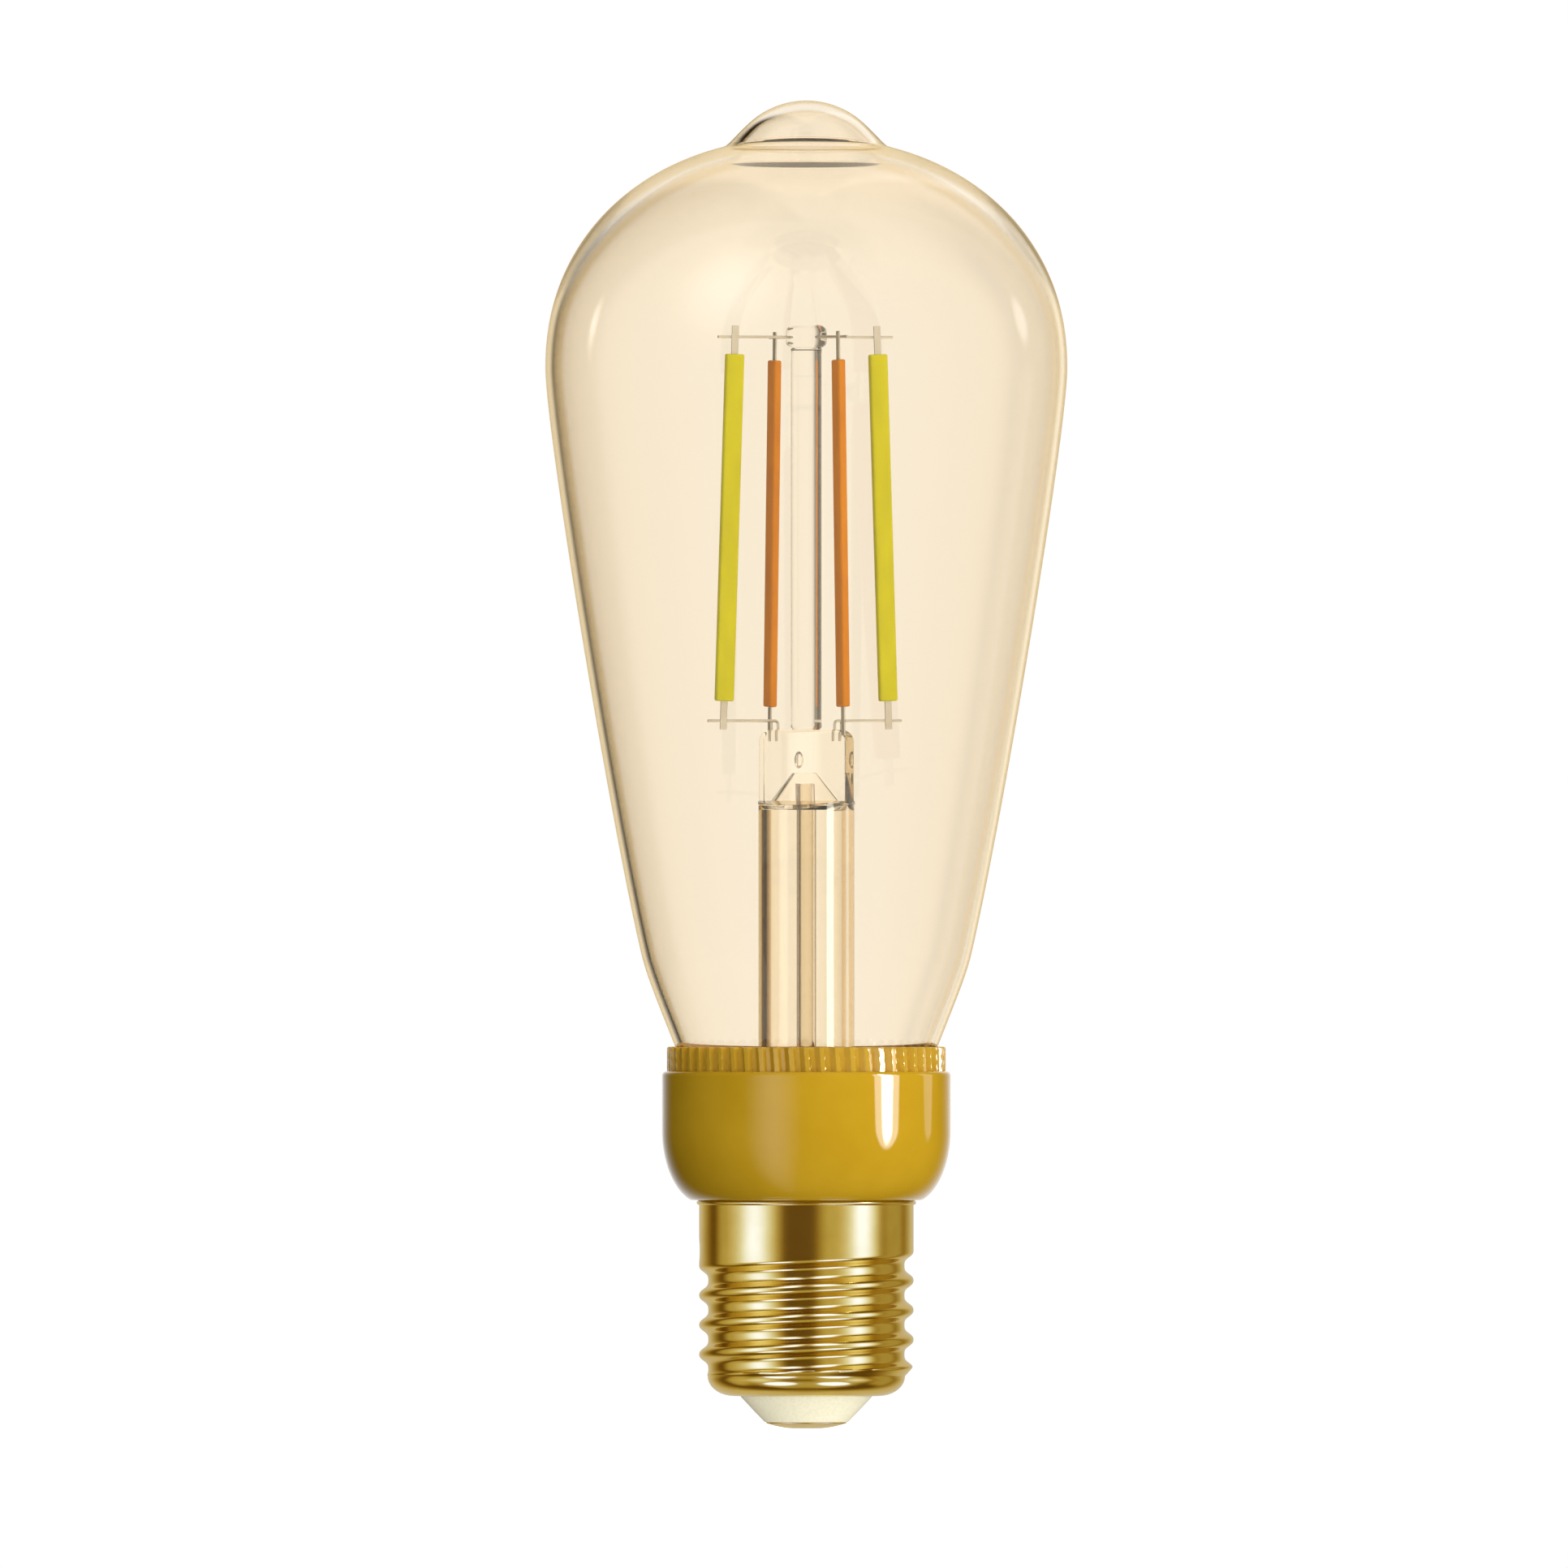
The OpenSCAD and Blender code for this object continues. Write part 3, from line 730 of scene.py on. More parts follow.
@dataclass
class GlassBulb:
    """The blown bulb: a squared-off dome under a sealed tip, a long flank and a neck."""

    radius: float = 32.0
    belly: float = 130.0
    dome_h: float = 28.3
    dome_power: float = 2.14
    tip_r: float = 10.3
    tip_blend: float = 2.4
    waist: tuple[float, float] = (20.2, 58.0)
    waist_lean: float = 0.2345
    pulls: tuple[float, float, float] = (17.0, 4.0, 7.5)
    neck_r: float = 14.8
    neck_top: float = 43.0
    wall_side: float = 0.92
    wall_dome: float = 1.5
    wall_tip: float = 1.15
    dome_rise: tuple[float, float] = (136.0, 154.0)
    tip_rise: tuple[float, float] = (156.0, 161.0)
    columns: int = 200

    def outline(self) -> Array:
        """Works out the outer profile, from the neck's foot up to the tip.

        The dome's height is belly + h (1 - (r/R)^p)^(1/p), joined to a spherical tip by a
        smooth maximum. The flank and the neck are one cubic Bezier curve each.

        Returns:
            Points of radius and height.
        """
        low, high = box_mm("glass_envelope")
        r = self.radius * np.sin(np.linspace(math.pi / 2, 0.0, 86))
        fall = np.clip(1 - (r / self.radius) ** self.dome_power, 0, None)
        dome = self.belly + self.dome_h * fall ** (1 / self.dome_power)
        under = np.clip(self.tip_r**2 - r**2, 0.0, None)
        tip = np.where(r < self.tip_r, high[2] - self.tip_r + np.sqrt(under), 0.0)
        crown = np.column_stack((r, smooth_max(dome, tip, self.tip_blend)))
        waist, lean = np.array(self.waist), np.array((self.waist_lean, 1.0))
        above, below, under_belly = self.pulls
        shoulder = (self.radius, self.belly - under_belly), (self.radius, self.belly)
        flank = bezier(np.array((waist, waist + lean * above, *shoulder)), np.linspace(0.0, 1.0, 52))
        start = (self.neck_r, self.neck_top), (self.neck_r + 0.6, self.neck_top + 2.7)
        neck = bezier(np.array((*start, waist - lean * below, waist)), np.linspace(0.0, 1.0, 22))
        return np.vstack(((self.neck_r, low[2]), neck, flank[1:], crown[1:]))

    def wall(self, height: Array) -> Array:
        """Thickness of the glass: even along the flank, thicker in the dome, thinner again at the tip."""
        dome = (self.wall_dome - self.wall_side) * smoothstep(*self.dome_rise, height)
        tip = (self.wall_tip - self.wall_dome) * smoothstep(*self.tip_rise, height)
        return self.wall_side + dome + tip

    def build(self, shop: Workshop) -> None:
        """Makes the bulb as one wall with an outer and an inner face."""
        outer = self.outline()
        inner = offset_curve(outer, -self.wall(outer[:, 1]))
        inner[0] = outer[0] - (self.wall_side, 0.0)
        inner[-1] = outer[-1] - (0.0, self.wall_tip)
        faces = [turned_grid(rings, self.columns) for rings in (outer[:-1], inner[-2::-1])]
        bulb = new_object("glass_bulb", *two_faced(*faces, outer[-1, 1], inner[-1, 1]), 60.0)
        shop.file(bulb, Finish.AMBER_GLASS, "amber_glass", "glass_envelope")


@dataclass
class Stem:
    """The glass mount inside the bulb: flare, tube, pinch, exhaust tube, rod and bead."""

    tube_r: float = 5.9
    wall: float = 1.0
    flare_r: float = 13.8
    flare_top: float = 46.5
    press_half: float = 1.42
    press_edge: float = 0.3
    press_in: float = 0.1
    squareness: float = 24.0
    pinch_low: float = 76.5
    pinch_high: float = 77.0
    shoulder: float = 1.5
    roof_low: float = 75.9
    roof_apex: float = 80.4
    roof_wide: float = 1.6
    slot: tuple[float, float] = (0.65, 0.35)
    exhaust_r: float = 1.2
    exhaust_bore: float = 0.8
    rod_r: float = 1.9
    bead_r: float = 2.55
    bead_h: float = 2.9
    bead_edge: float = 1.05
    bubble_r: float = 0.62
    bubble_half: float = 1.05
    bubble_at: tuple[float, float, float] = (-0.7, 0.25, 82.0)
    columns: int = 96

    def flare(self, height: Array, low: float, outer: bool) -> Array:
        """Radius of the flare: the tube's radius, opening as a power of the drop below the tube."""
        t = np.clip((height - low) / (self.flare_top - low), 0.0, 1.0)
        return self.tube_r + (self.flare_r - self.tube_r) * (1 - t) ** 2.4 - (0.0 if outer else self.wall)

    def pinched(self) -> Skin:
        """Makes the flare, tube and pinch as one wall.

        Each ring is a squared ring: round in the tube, and easing into a flat bar where the
        glass is pinched. The inner rings run down from a narrow roof to the open foot.

        Returns:
            The points and the faces.
        """
        low, high = box_mm("glass_stem")
        foot, top = low[2], high[2]
        corner = np.linspace(0.0, math.pi / 2, 9)[1:]
        z_out = np.concatenate(
            (
                np.linspace(foot + 1.2, self.flare_top, 16),
                np.linspace(self.flare_top, self.pinch_low - 0.15, 10)[1:],
                np.linspace(self.pinch_low, self.pinch_high, 9),
                np.linspace(self.pinch_high, top - self.shoulder, 8)[1:],
                top - self.shoulder + self.shoulder * np.sin(corner),
            )
        )
        squeeze = np.clip((z_out - self.pinch_low) / (self.pinch_high - self.pinch_low), 0.0, 1.0)
        rounding = np.clip((z_out - (top - self.shoulder)) / self.shoulder, 0.0, 1.0)
        inset = self.shoulder * (1.0 - np.sqrt(1.0 - rounding**2))
        soft_top = self.press_edge * np.clip(rounding * 3.0 - 2.0, 0.0, 1.0) ** 2
        half_x = self.flare(z_out, foot, True) - self.press_in * squeeze - inset
        half_y = self.flare(z_out, foot, True) * (1 - squeeze) + self.press_half * squeeze - soft_top
        outer = self.rings(half_x, half_y, 2.0 + self.squareness * squeeze, z_out)
        z_in = np.concatenate(
            (
                np.linspace(self.roof_apex, self.pinch_low + 0.2, 12),
                np.linspace(self.pinch_low, self.roof_low, 10),
                np.linspace(self.roof_low - 0.15, self.flare_top, 10),
                np.linspace(self.flare_top, foot, 16)[1:],
            )
        )
        bore = self.flare(z_in, foot, False)
        thin = np.interp(z_in, (self.roof_low, self.pinch_low + 0.2, self.roof_apex), (1.0, 0.0, 0.0))
        slot = np.interp(z_in, (self.pinch_low + 0.2, self.roof_apex), self.slot)
        narrow = np.clip((z_in - self.pinch_low) / (self.roof_apex - self.pinch_low), 0.0, 1.0)
        inner = self.rings(bore + (self.roof_wide - bore) * narrow, slot + (bore - slot) * thin, 2.0 + 2 * narrow, z_in)
        return two_faced(outer, inner, top, self.roof_apex)

    def rings(self, half_x: Array, half_y: Array, power: Array, z: Array) -> Array:
        """Squared rings at their heights, kept within the tube's round and turned with the pinch."""
        flat = squared_ring(half_x, half_y, power, self.columns)
        reach = np.maximum(self.tube_r + 0.06, half_x)[:, None, None]
        flat = flat * np.minimum(1.0, reach / np.linalg.norm(flat, axis=-1, keepdims=True))
        x, y = rotated(flat[..., 0], flat[..., 1], -SHELL_TURN)
        return np.stack((x, y, np.broadcast_to(z[:, None], x.shape)), -1)

    def bubble(self) -> Skin:
        """The blown end of the exhaust bore: a small drop-shaped hollow in the pinch.

        A sphere stretched upwards, with its faces turned inwards because it is a hollow.

        Returns:
            The points and the faces.
        """
        tilt = np.linspace(0.0, math.pi, 15)
        x, y, z = self.bubble_at
        profile = np.column_stack((self.bubble_r * np.sin(tilt), z - self.bubble_half * np.cos(tilt)))
        points, faces = solid(profile, 32)
        return points + (x, y, 0.0), [face[::-1] for face in faces]

    def exhaust(self) -> Piece:
        """The exhaust tube: a thin wall, open at its upper end and melted shut at its foot."""
        low, high = box_mm("exhaust_tube")
        bottom = arc((0.0, low[2] + self.exhaust_r), self.exhaust_r, -88.0, 0.0, 8)
        hollow = arc((0.0, low[2] + 1.4), self.exhaust_bore, 0.0, -88.0, 8)
        top = np.array(((self.exhaust_r, high[2] - 0.1), (self.exhaust_bore, high[2] - 0.1)))
        profile = np.vstack(((0.0, low[2]), bottom, top, hollow, (0.0, low[2] + 0.6)))
        return turned("exhaust_glass", profile, 40, False, 50.0)

    def rod(self) -> Piece:
        """The rod with its bead: a melted foot on the pinch, a straight shank and a rounded collar on top."""
        low, high = box_mm("support_rod")
        e = self.bead_edge
        bead_low = high[2] - self.bead_h
        foot = np.array(((0.0, low[2]), (self.rod_r * 0.86, low[2]), (self.rod_r, low[2] + 0.35)))
        neck = arc((self.rod_r + 0.25, bead_low - 0.2), 0.25, 180.0, 90.0, 4)
        lower = arc((self.bead_r - e, bead_low + e), e, -75.0, 0.0, 10)
        upper = arc((self.bead_r - e, high[2] - e), e, 0.0, 90.0, 12)
        shank = np.column_stack((np.full(6, self.rod_r), np.linspace(low[2] + 1, bead_low - 0.6, 6)))
        profile = np.vstack((foot, shank, neck[:2], lower, upper, (0.0, high[2])))
        return turned("rod_and_bead", profile, 72, False, 50.0)

    def build(self, shop: Workshop) -> None:
        """Makes the stem, the exhaust tube and the rod."""
        stem = new_object("stem_glass", *merged([self.pinched(), self.bubble()]), 50.0)
        shop.file(stem, Finish.STEM_GLASS, "clear_glass", "glass_stem")
        shop.file(self.exhaust(), Finish.EXHAUST_GLASS, "clear_glass", "exhaust_tube")
        shop.file(self.rod(), Finish.ROD_GLASS, "clear_glass", "support_rod")


class Pair(Enum):
    """The two colours of light: each pair of filaments faces its partner across the rod."""

    COOL = "cool"
    WARM = "warm"

    @property
    def angle(self) -> float:
        """Direction of the pair's right-hand filament, in radians from +X."""
        return SHELL_TURN if self is Pair.COOL else SHELL_TURN - math.pi / 2

    @property
    def finish(self) -> Finish:
        """The pair's coating."""
        return Finish.YELLOW_PHOSPHOR if self is Pair.COOL else Finish.ORANGE_PHOSPHOR

    @property
    def beside(self) -> Array:
        """Sideways direction from a tab to its wire, away from the front."""
        return outward(SHELL_TURN + math.pi / 2 if self is Pair.COOL else SHELL_TURN)


class Side(Enum):
    """Which filament of a pair, as seen from the front."""

    LEFT = -1
    RIGHT = 1


def tail(pair: Pair, side: Side) -> str:
    """The end of the names of what belongs to one filament."""
    return f"{pair.value}_{side.name.lower()}"


@dataclass
class Filaments:
    """Four coated filaments with their tabs, and the wires that hold them."""

    coat_len: float = 42.5
    coat_w: float = 2.35
    coat_t: float = 1.05
    coat_edge: float = 0.22
    coat_square: float = 5.0
    splay_top: float = 9.6
    splay_low: float = 11.0
    tab_w: float = 0.9
    tab_t: float = 0.2
    tab_len: float = 3.5
    tab_grip: float = 0.4
    tab_edge: float = 0.06
    tab_square: float = 9.0
    wire_r: float = 0.175
    top_root: float = 2.3
    top_reach: float = 11.7
    arm_past: float = 2.3
    bend: float = 0.55
    seal_depth: float = 1.4
    seal: dict[Pair, float] = field(default_factory=lambda: {Pair.COOL: 3.8, Pair.WARM: 4.7})

    def place(self, points: Array, pair: Pair, side: Side) -> Array:
        """Moves a filament's points from its own axes to the lamp's.

        The filament leans by the angle whose tangent is its splay over its length, stands
        off at its middle radius, and turns to its direction round the lamp's axis.

        Args:
            points: Points with X outwards and Z up the filament.
            pair: Which pair it belongs to.
            side: Which side of the pair.

        Returns:
            The points in place.
        """
        low, high = box_mm(f"filament_{tail(pair, side)}")
        lean = math.atan((self.splay_low - self.splay_top) / self.coat_len)
        x, z = rotated(points[:, 0], points[:, 2], lean)
        turn = pair.angle + (math.pi if side is Side.LEFT else 0.0)
        x, y = rotated(x + (self.splay_low + self.splay_top) / 2, points[:, 1], turn)
        return np.column_stack((x, y, z + (low[2] + high[2]) / 2))

    def coating(self, pair: Pair, side: Side) -> Piece:
        """One filament's coating: a bar with soft corners and rounded ends."""
        section = self.coat_edge, self.coat_square, 56
        points, faces = bar(self.coat_w / 2, self.coat_t / 2, self.coat_len, *section)
        return new_object(f"coating_{tail(pair, side)}", self.place(points, pair, side), faces, 50.0)

    def tabs(self, name: str, end: int) -> Piece:
        """The four flat tabs at one end, top (+1) or foot (-1)."""
        length = self.tab_len + self.tab_grip
        points, faces = bar(self.tab_w / 2, self.tab_t / 2, length, self.tab_edge, self.tab_square, 24)
        points = points + (0.0, 0.0, end * (self.coat_len / 2 - self.tab_grip + length / 2))
        parts = [(self.place(points, pair, side), faces) for pair in Pair for side in Side]
        return new_object(name, *merged(parts), 35.0)

    def top_wire(self, pair: Pair, side: Side) -> Piece:
        """The straight wire from the bead to just past a filament's upper tab."""
        low, high = box_mm(f"top_wire_{tail(pair, side)}")
        along = outward(pair.angle) * side.value
        middle = pair.beside * (self.wire_r + self.tab_t / 2) + (0.0, 0.0, (low[2] + high[2]) / 2)
        route = straight(middle + along * self.top_root, middle + along * self.top_reach, 0.8)
        return new_object(f"upper_wire_{tail(pair, side)}", *swept(route, self.wire_r), 50.0)

    def lead(self, pair: Pair, side: Side) -> Piece:
        """A lead wire: up out of the pinch, over a small bend and out past its filament's foot."""
        top = box_mm(f"lead_wire_{tail(pair, side)}")[1][2] - self.wire_r
        low = box_mm("glass_stem")[1][2] - self.seal_depth
        foot = outward(-SHELL_TURN) * side.value * self.seal[pair]
        weld = outward(pair.angle) * side.value * (self.splay_low + 0.1)
        weld = weld + pair.beside * (self.wire_r + self.tab_t / 2 + 0.03)
        run = (weld - foot) / np.linalg.norm(weld - foot)
        end = weld + run * self.arm_past
        corners = np.array((foot + (0.0, 0.0, low), foot + (0.0, 0.0, top), end + (0.0, 0.0, top)))
        skin = swept(rounded_route(corners, self.bend), self.wire_r)
        return new_object(f"lead_{tail(pair, side)}", *skin, 50.0)

    def build(self, shop: Workshop) -> None:
        """Makes the coatings, tabs and wires, and dresses what the coatings hide."""
        metal = Finish.NICKEL_WIRE, "nickel_wire"
        for pair in Pair:
            for side in Side:
                ends = tail(pair, side)
                shop.file(self.coating(pair, side), pair.finish, pair.finish.value.name, f"filament_{ends}")
                shop.file(self.lead(pair, side), *metal, f"lead_wire_{ends}")
                shop.file(self.top_wire(pair, side), *metal, f"top_wire_{ends}")
            shop.dress(f"dies_{pair.value}", Finish.LED_DIE)
        shop.file(self.tabs("tabs_top", 1), *metal, "filament_tabs_top")
        shop.file(self.tabs("tabs_foot", -1), *metal, "filament_tabs_low")
        shop.dress("filament_strips", Finish.CERAMIC_STRIP)


@dataclass
class Collar:
    """The moulded base: a bowl-shaped collar, and the toothed ring that sits on it."""

    bowl_z: float = 36.5
    bowl_r: float = 5.15
    bowl_h: float = 9.0
    edge: float = 0.55
    bore_r: float = 15.9
    throat_r: float = 11.65
    spigot_r: float = 12.8
    floor_z: float = 30.2
    teeth: int = 56
    tooth_depth: float = 0.7
    tooth_lean: float = 4.5
    ring_bore: float = 16.2
    ring_edge: float = 0.28

    def shell(self) -> Piece:
        """The collar's wall: an upright side that closes below in a quarter ellipse."""
        low, high = box_mm("base_collar")
        radius, e = high[0], self.edge
        under = box_mm("screw_shell")[1][2]
        z = np.linspace(under, self.bowl_z, 40)
        drop = np.clip((self.bowl_z - z) / self.bowl_h, 0.0, 1.0)
        bowl = np.column_stack((radius - self.bowl_r * (1 - np.sqrt(1 - drop**2)), z))
        side = np.column_stack((np.full(6, radius), np.linspace(self.bowl_z + 0.5, high[2] - e, 6)))
        lip = arc((radius - e, high[2] - e), e, 0.0, 90.0, 10)
        inside = (
            (self.bore_r, high[2]),
            (self.bore_r, self.floor_z + 4),
            (self.bore_r - 1.8, self.floor_z),
            (self.throat_r, self.floor_z),
            (self.throat_r, low[2]),
            (self.spigot_r, low[2]),
            (self.spigot_r, under),
        )
        return turned("collar_shell", np.vstack((bowl, side, lip, inside)), 220, True, 45.0)

    def tooth_wave(self, phase: Array) -> Array:
        """Height of the teeth over one pitch, 0 to 1: a land, a steep drop, a floor and a long ramp back."""
        return np.interp(phase % 1.0, (0.0, 0.26, 0.33, 0.64, 0.95, 1.0), (1.0, 1.0, 0.0, 0.0, 1.0, 1.0))

    def ring(self) -> Piece:
        """The toothed ring: each tooth leans, and its upper end is chamfered back.

        The radius is the root radius plus the tooth wave times its depth, read at the angle
        less the lean times the height; the chamfer lowers it along a quarter circle.

        Returns:
            The ring.
        """
        low, high = box_mm("toothed_ring")
        columns = self.teeth * 20
        angle = np.arange(columns) * TAU / columns
        e = self.ring_edge
        quarter = np.linspace(0.0, math.pi / 2, 7)[1:]
        z = np.concatenate((np.linspace(low[2], high[2] - e, 12), high[2] - e + e * np.sin(quarter)))
        inset = np.concatenate((np.zeros(12), e * (1 - np.cos(quarter))))
        crest = high[0] - 0.02
        shift = np.radians(self.tooth_lean) * (z - low[2]) / crest
        wave = self.tooth_wave((angle + shift[:, None]) * self.teeth / TAU)
        outer = round_grid(crest - self.tooth_depth * (1 - wave) - inset[:, None], z, columns)
        inner = turned_grid(np.array(((self.ring_bore, high[2]), (self.ring_bore, low[2]))), columns)
        return new_object("toothed_band", *grid_surface(np.concatenate((outer, inner)), closed=True), 24.0)

    def build(self, shop: Workshop) -> None:
        """Makes the collar and ring, and dresses the cement."""
        shop.file(self.shell(), Finish.COLLAR_ABS, "collar_plastic", "base_collar")
        shop.file(self.ring(), Finish.RING_ABS, "ring_plastic", "toothed_ring")
        shop.dress("neck_cement", Finish.CEMENT)


@dataclass
class ScrewCap:
    """The brass cap: rolled thread and skirt, with the insulator and centre contact below."""

    crest_r: float = 13.15
    depth: float = 1.12
    pitch: float = 3.629
    root_width: float = 1.4
    steepness: float = 0.45
    root_z: float = 19.95
    runout: float = 205.0
    fade: float = 150.0
    wall: float = 0.3
    foot_r: float = 12.1
    foot_z: float = 6.4
    eye_r: float = 8.17
    eye_flat: float = 8.9
    lip: float = 0.3
    columns: int = 216

    def groove_depth(self, turned_by: Array) -> Array:
        """Depth of the groove after an angle up its helix: full, then fading to nothing at the run-out."""
        t = np.clip((turned_by - self.runout + self.fade) / self.fade, 0.0, 1.0)
        return self.depth * (0.5 + 0.5 * np.cos(math.pi * t))

    def thread(self, angle: Array, z: Array) -> Array:
        """Outer radius of the rolled thread.

        The groove nearest a point is found by rounding its rise above the helix to whole
        turns. From root to crest the radius follows half a cosine wave raised to a power,
        which widens the root, mixed with the squared sine of that wave, which steepens the
        flank. The run-out fades the groove's depth.

        Args:
            angle: Angle round the axis in degrees, one to a column.
            z: Height, one to a row.

        Returns:
            Radius by row and column.
        """
        rise = z[:, None] - self.root_z - self.pitch * angle[None, :] / 360.0
        turns = np.round(rise / self.pitch)
        phase = TAU * (rise / self.pitch - turns)
        wave = (0.5 - 0.5 * np.cos(phase)) ** self.root_width
        wave += self.steepness * (np.sin(0.5 * math.pi * wave) ** 2 - wave)
        depth = self.groove_depth(angle[None, :] + 360.0 * turns)
        plain = self.crest_r - depth * (1.0 - wave)
        limit = np.maximum(self.foot_r + 0.9 * (z - self.foot_z), self.foot_r)
        return smooth_min(plain, np.broadcast_to(limit[:, None], plain.shape), 0.3)

    def shell(self) -> Piece:
        """The shell: up the outside from the eye, over the rolled lip, and down the inside."""
        low, high = box_mm("screw_shell")
        foot = np.linspace(0.0, math.pi / 2, 10)
        foot_r = self.eye_flat + (self.foot_r - self.eye_flat) * np.sin(foot)
        foot_h = low[2] + (self.foot_z - low[2]) * (1 - np.cos(foot))
        body_h = np.linspace(self.foot_z, high[2] - 2 * self.lip, 150)[1:]
        body_r = self.thread(np.arange(self.columns) * 360.0 / self.columns, body_h)
        lip = arc((self.crest_r, high[2] - self.lip), self.lip, -70.0, 90.0, 9)
        below, above = np.concatenate(((self.eye_r,), foot_r)), lip[:, 0]
        even = [np.repeat(part[:, None], self.columns, 1) for part in (below, above)]
        outer_r = np.vstack((even[0], body_r))
        outer_h = np.concatenate(((low[2],), foot_h, body_h))
        inner_r = outer_r - self.wall
        inner_r[0], inner_r[1] = self.eye_r, self.eye_flat
        inner_h = outer_h.copy()
        inner_h[:11] += self.wall * np.concatenate(((1.0,), np.cos(foot)))
        brim = np.full((1, self.columns), self.crest_r - self.wall)
        radius = np.vstack((outer_r, even[1], brim, inner_r[::-1]))
        height = np.concatenate((outer_h, lip[:, 1], (high[2],), inner_h[::-1]))
        skin = grid_surface(round_grid(radius, height, self.columns), closed=True)
        return new_object("threaded_shell", *skin, 50.0)

    def insulator(self) -> Piece:
        """The pressed insulator: a cone with a soft lower edge, held behind the eye of the shell."""
        low, high = box_mm("cap_insulator")
        eye = box_mm("screw_shell")[0][2]
        base_r, top_r = 5.25, 8.1
        edge = arc((base_r - 0.25, low[2] + 0.3), 0.3, -85.0, -30.0, 5)
        cone = np.array(((top_r - 0.12, eye - 0.16), (top_r, eye + 0.03), (top_r, eye + 0.35)))
        above = np.array(((self.eye_flat, eye + 0.35), (self.eye_flat - 0.6, high[2]), (1.0, high[2]), (1.0, low[2])))
        return turned("pressed_insulator", np.vstack((edge, cone, above)), 120, True, 45.0)

    def contact(self) -> Piece:
        """The centre contact: a shallow dome with a rolled rim, and its rivet."""
        low, high = box_mm("center_contact")
        rim_r = high[0]
        r = np.linspace(1.6, rim_r - 0.1, 12)
        rise = 0.58 * ((r - 1.6) / (rim_r - 1.7)) ** 1.7
        dome = np.column_stack((r, low[2] + rise))
        rim = arc((rim_r - 0.1, low[2] + 0.68), 0.1, -60.0, 60.0, 6)
        top = np.array(((rim_r - 0.3, 0.79), (1.0, 0.79), (1.0, high[2]), (0.0, high[2])))
        start = np.array(((0.0, low[2]), (1.0, low[2])))
        return turned("domed_contact", np.vstack((start, dome, rim, top)), 96, False, 45.0)

    def build(self, shop: Workshop) -> None:
        """Makes the shell, the insulator and the contact."""
        shop.file(self.shell(), Finish.BRASS_SHEET, "gold_brass", "screw_shell")
        shop.file(self.insulator(), Finish.CREAM_INSULATOR, "cream_insulator", "cap_insulator")
        shop.file(self.contact(), Finish.CONTACT_BRASS, "contact_brass", "center_contact")


class Driver:
    """The boards and parts that the base hides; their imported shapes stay."""

    FINISHES = {
        "driver_board": Finish.BOARD,
        "radio_board": Finish.BOARD,
        "bulk_capacitor": Finish.CAN_SLEEVE,
        "power_inductor": Finish.FERRITE,
        "bridge_rectifier": Finish.EPOXY,
        "led_driver_chips": Finish.EPOXY,
        "fuse_resistor": Finish.LACQUER,
        "radio_shield": Finish.TINPLATE,
        "radio_pins": Finish.GILT_PIN,
        "live_wire": Finish.RED_LEAD,
        "neutral_wire": Finish.BLUE_LEAD,
    }

    def build(self, shop: Workshop) -> None:
        """Dresses each part."""
        for node, finish in self.FINISHES.items():
            shop.dress(node, finish)


# ------------------------------------------------------------------ studio


@dataclass(frozen=True)
class Panel:
    """A soft lit area as the lamp sees it.

    Angles are degrees. Azimuth 0 is towards the camera and positive is to its right, so
    180 is straight behind the lamp. The feather is half the width of the soft edge.
    """

    azimuth: float
    half_width: float
    elevation: float
    half_height: float
    power: float
    feather: float = 8.0
    rounded: bool = False


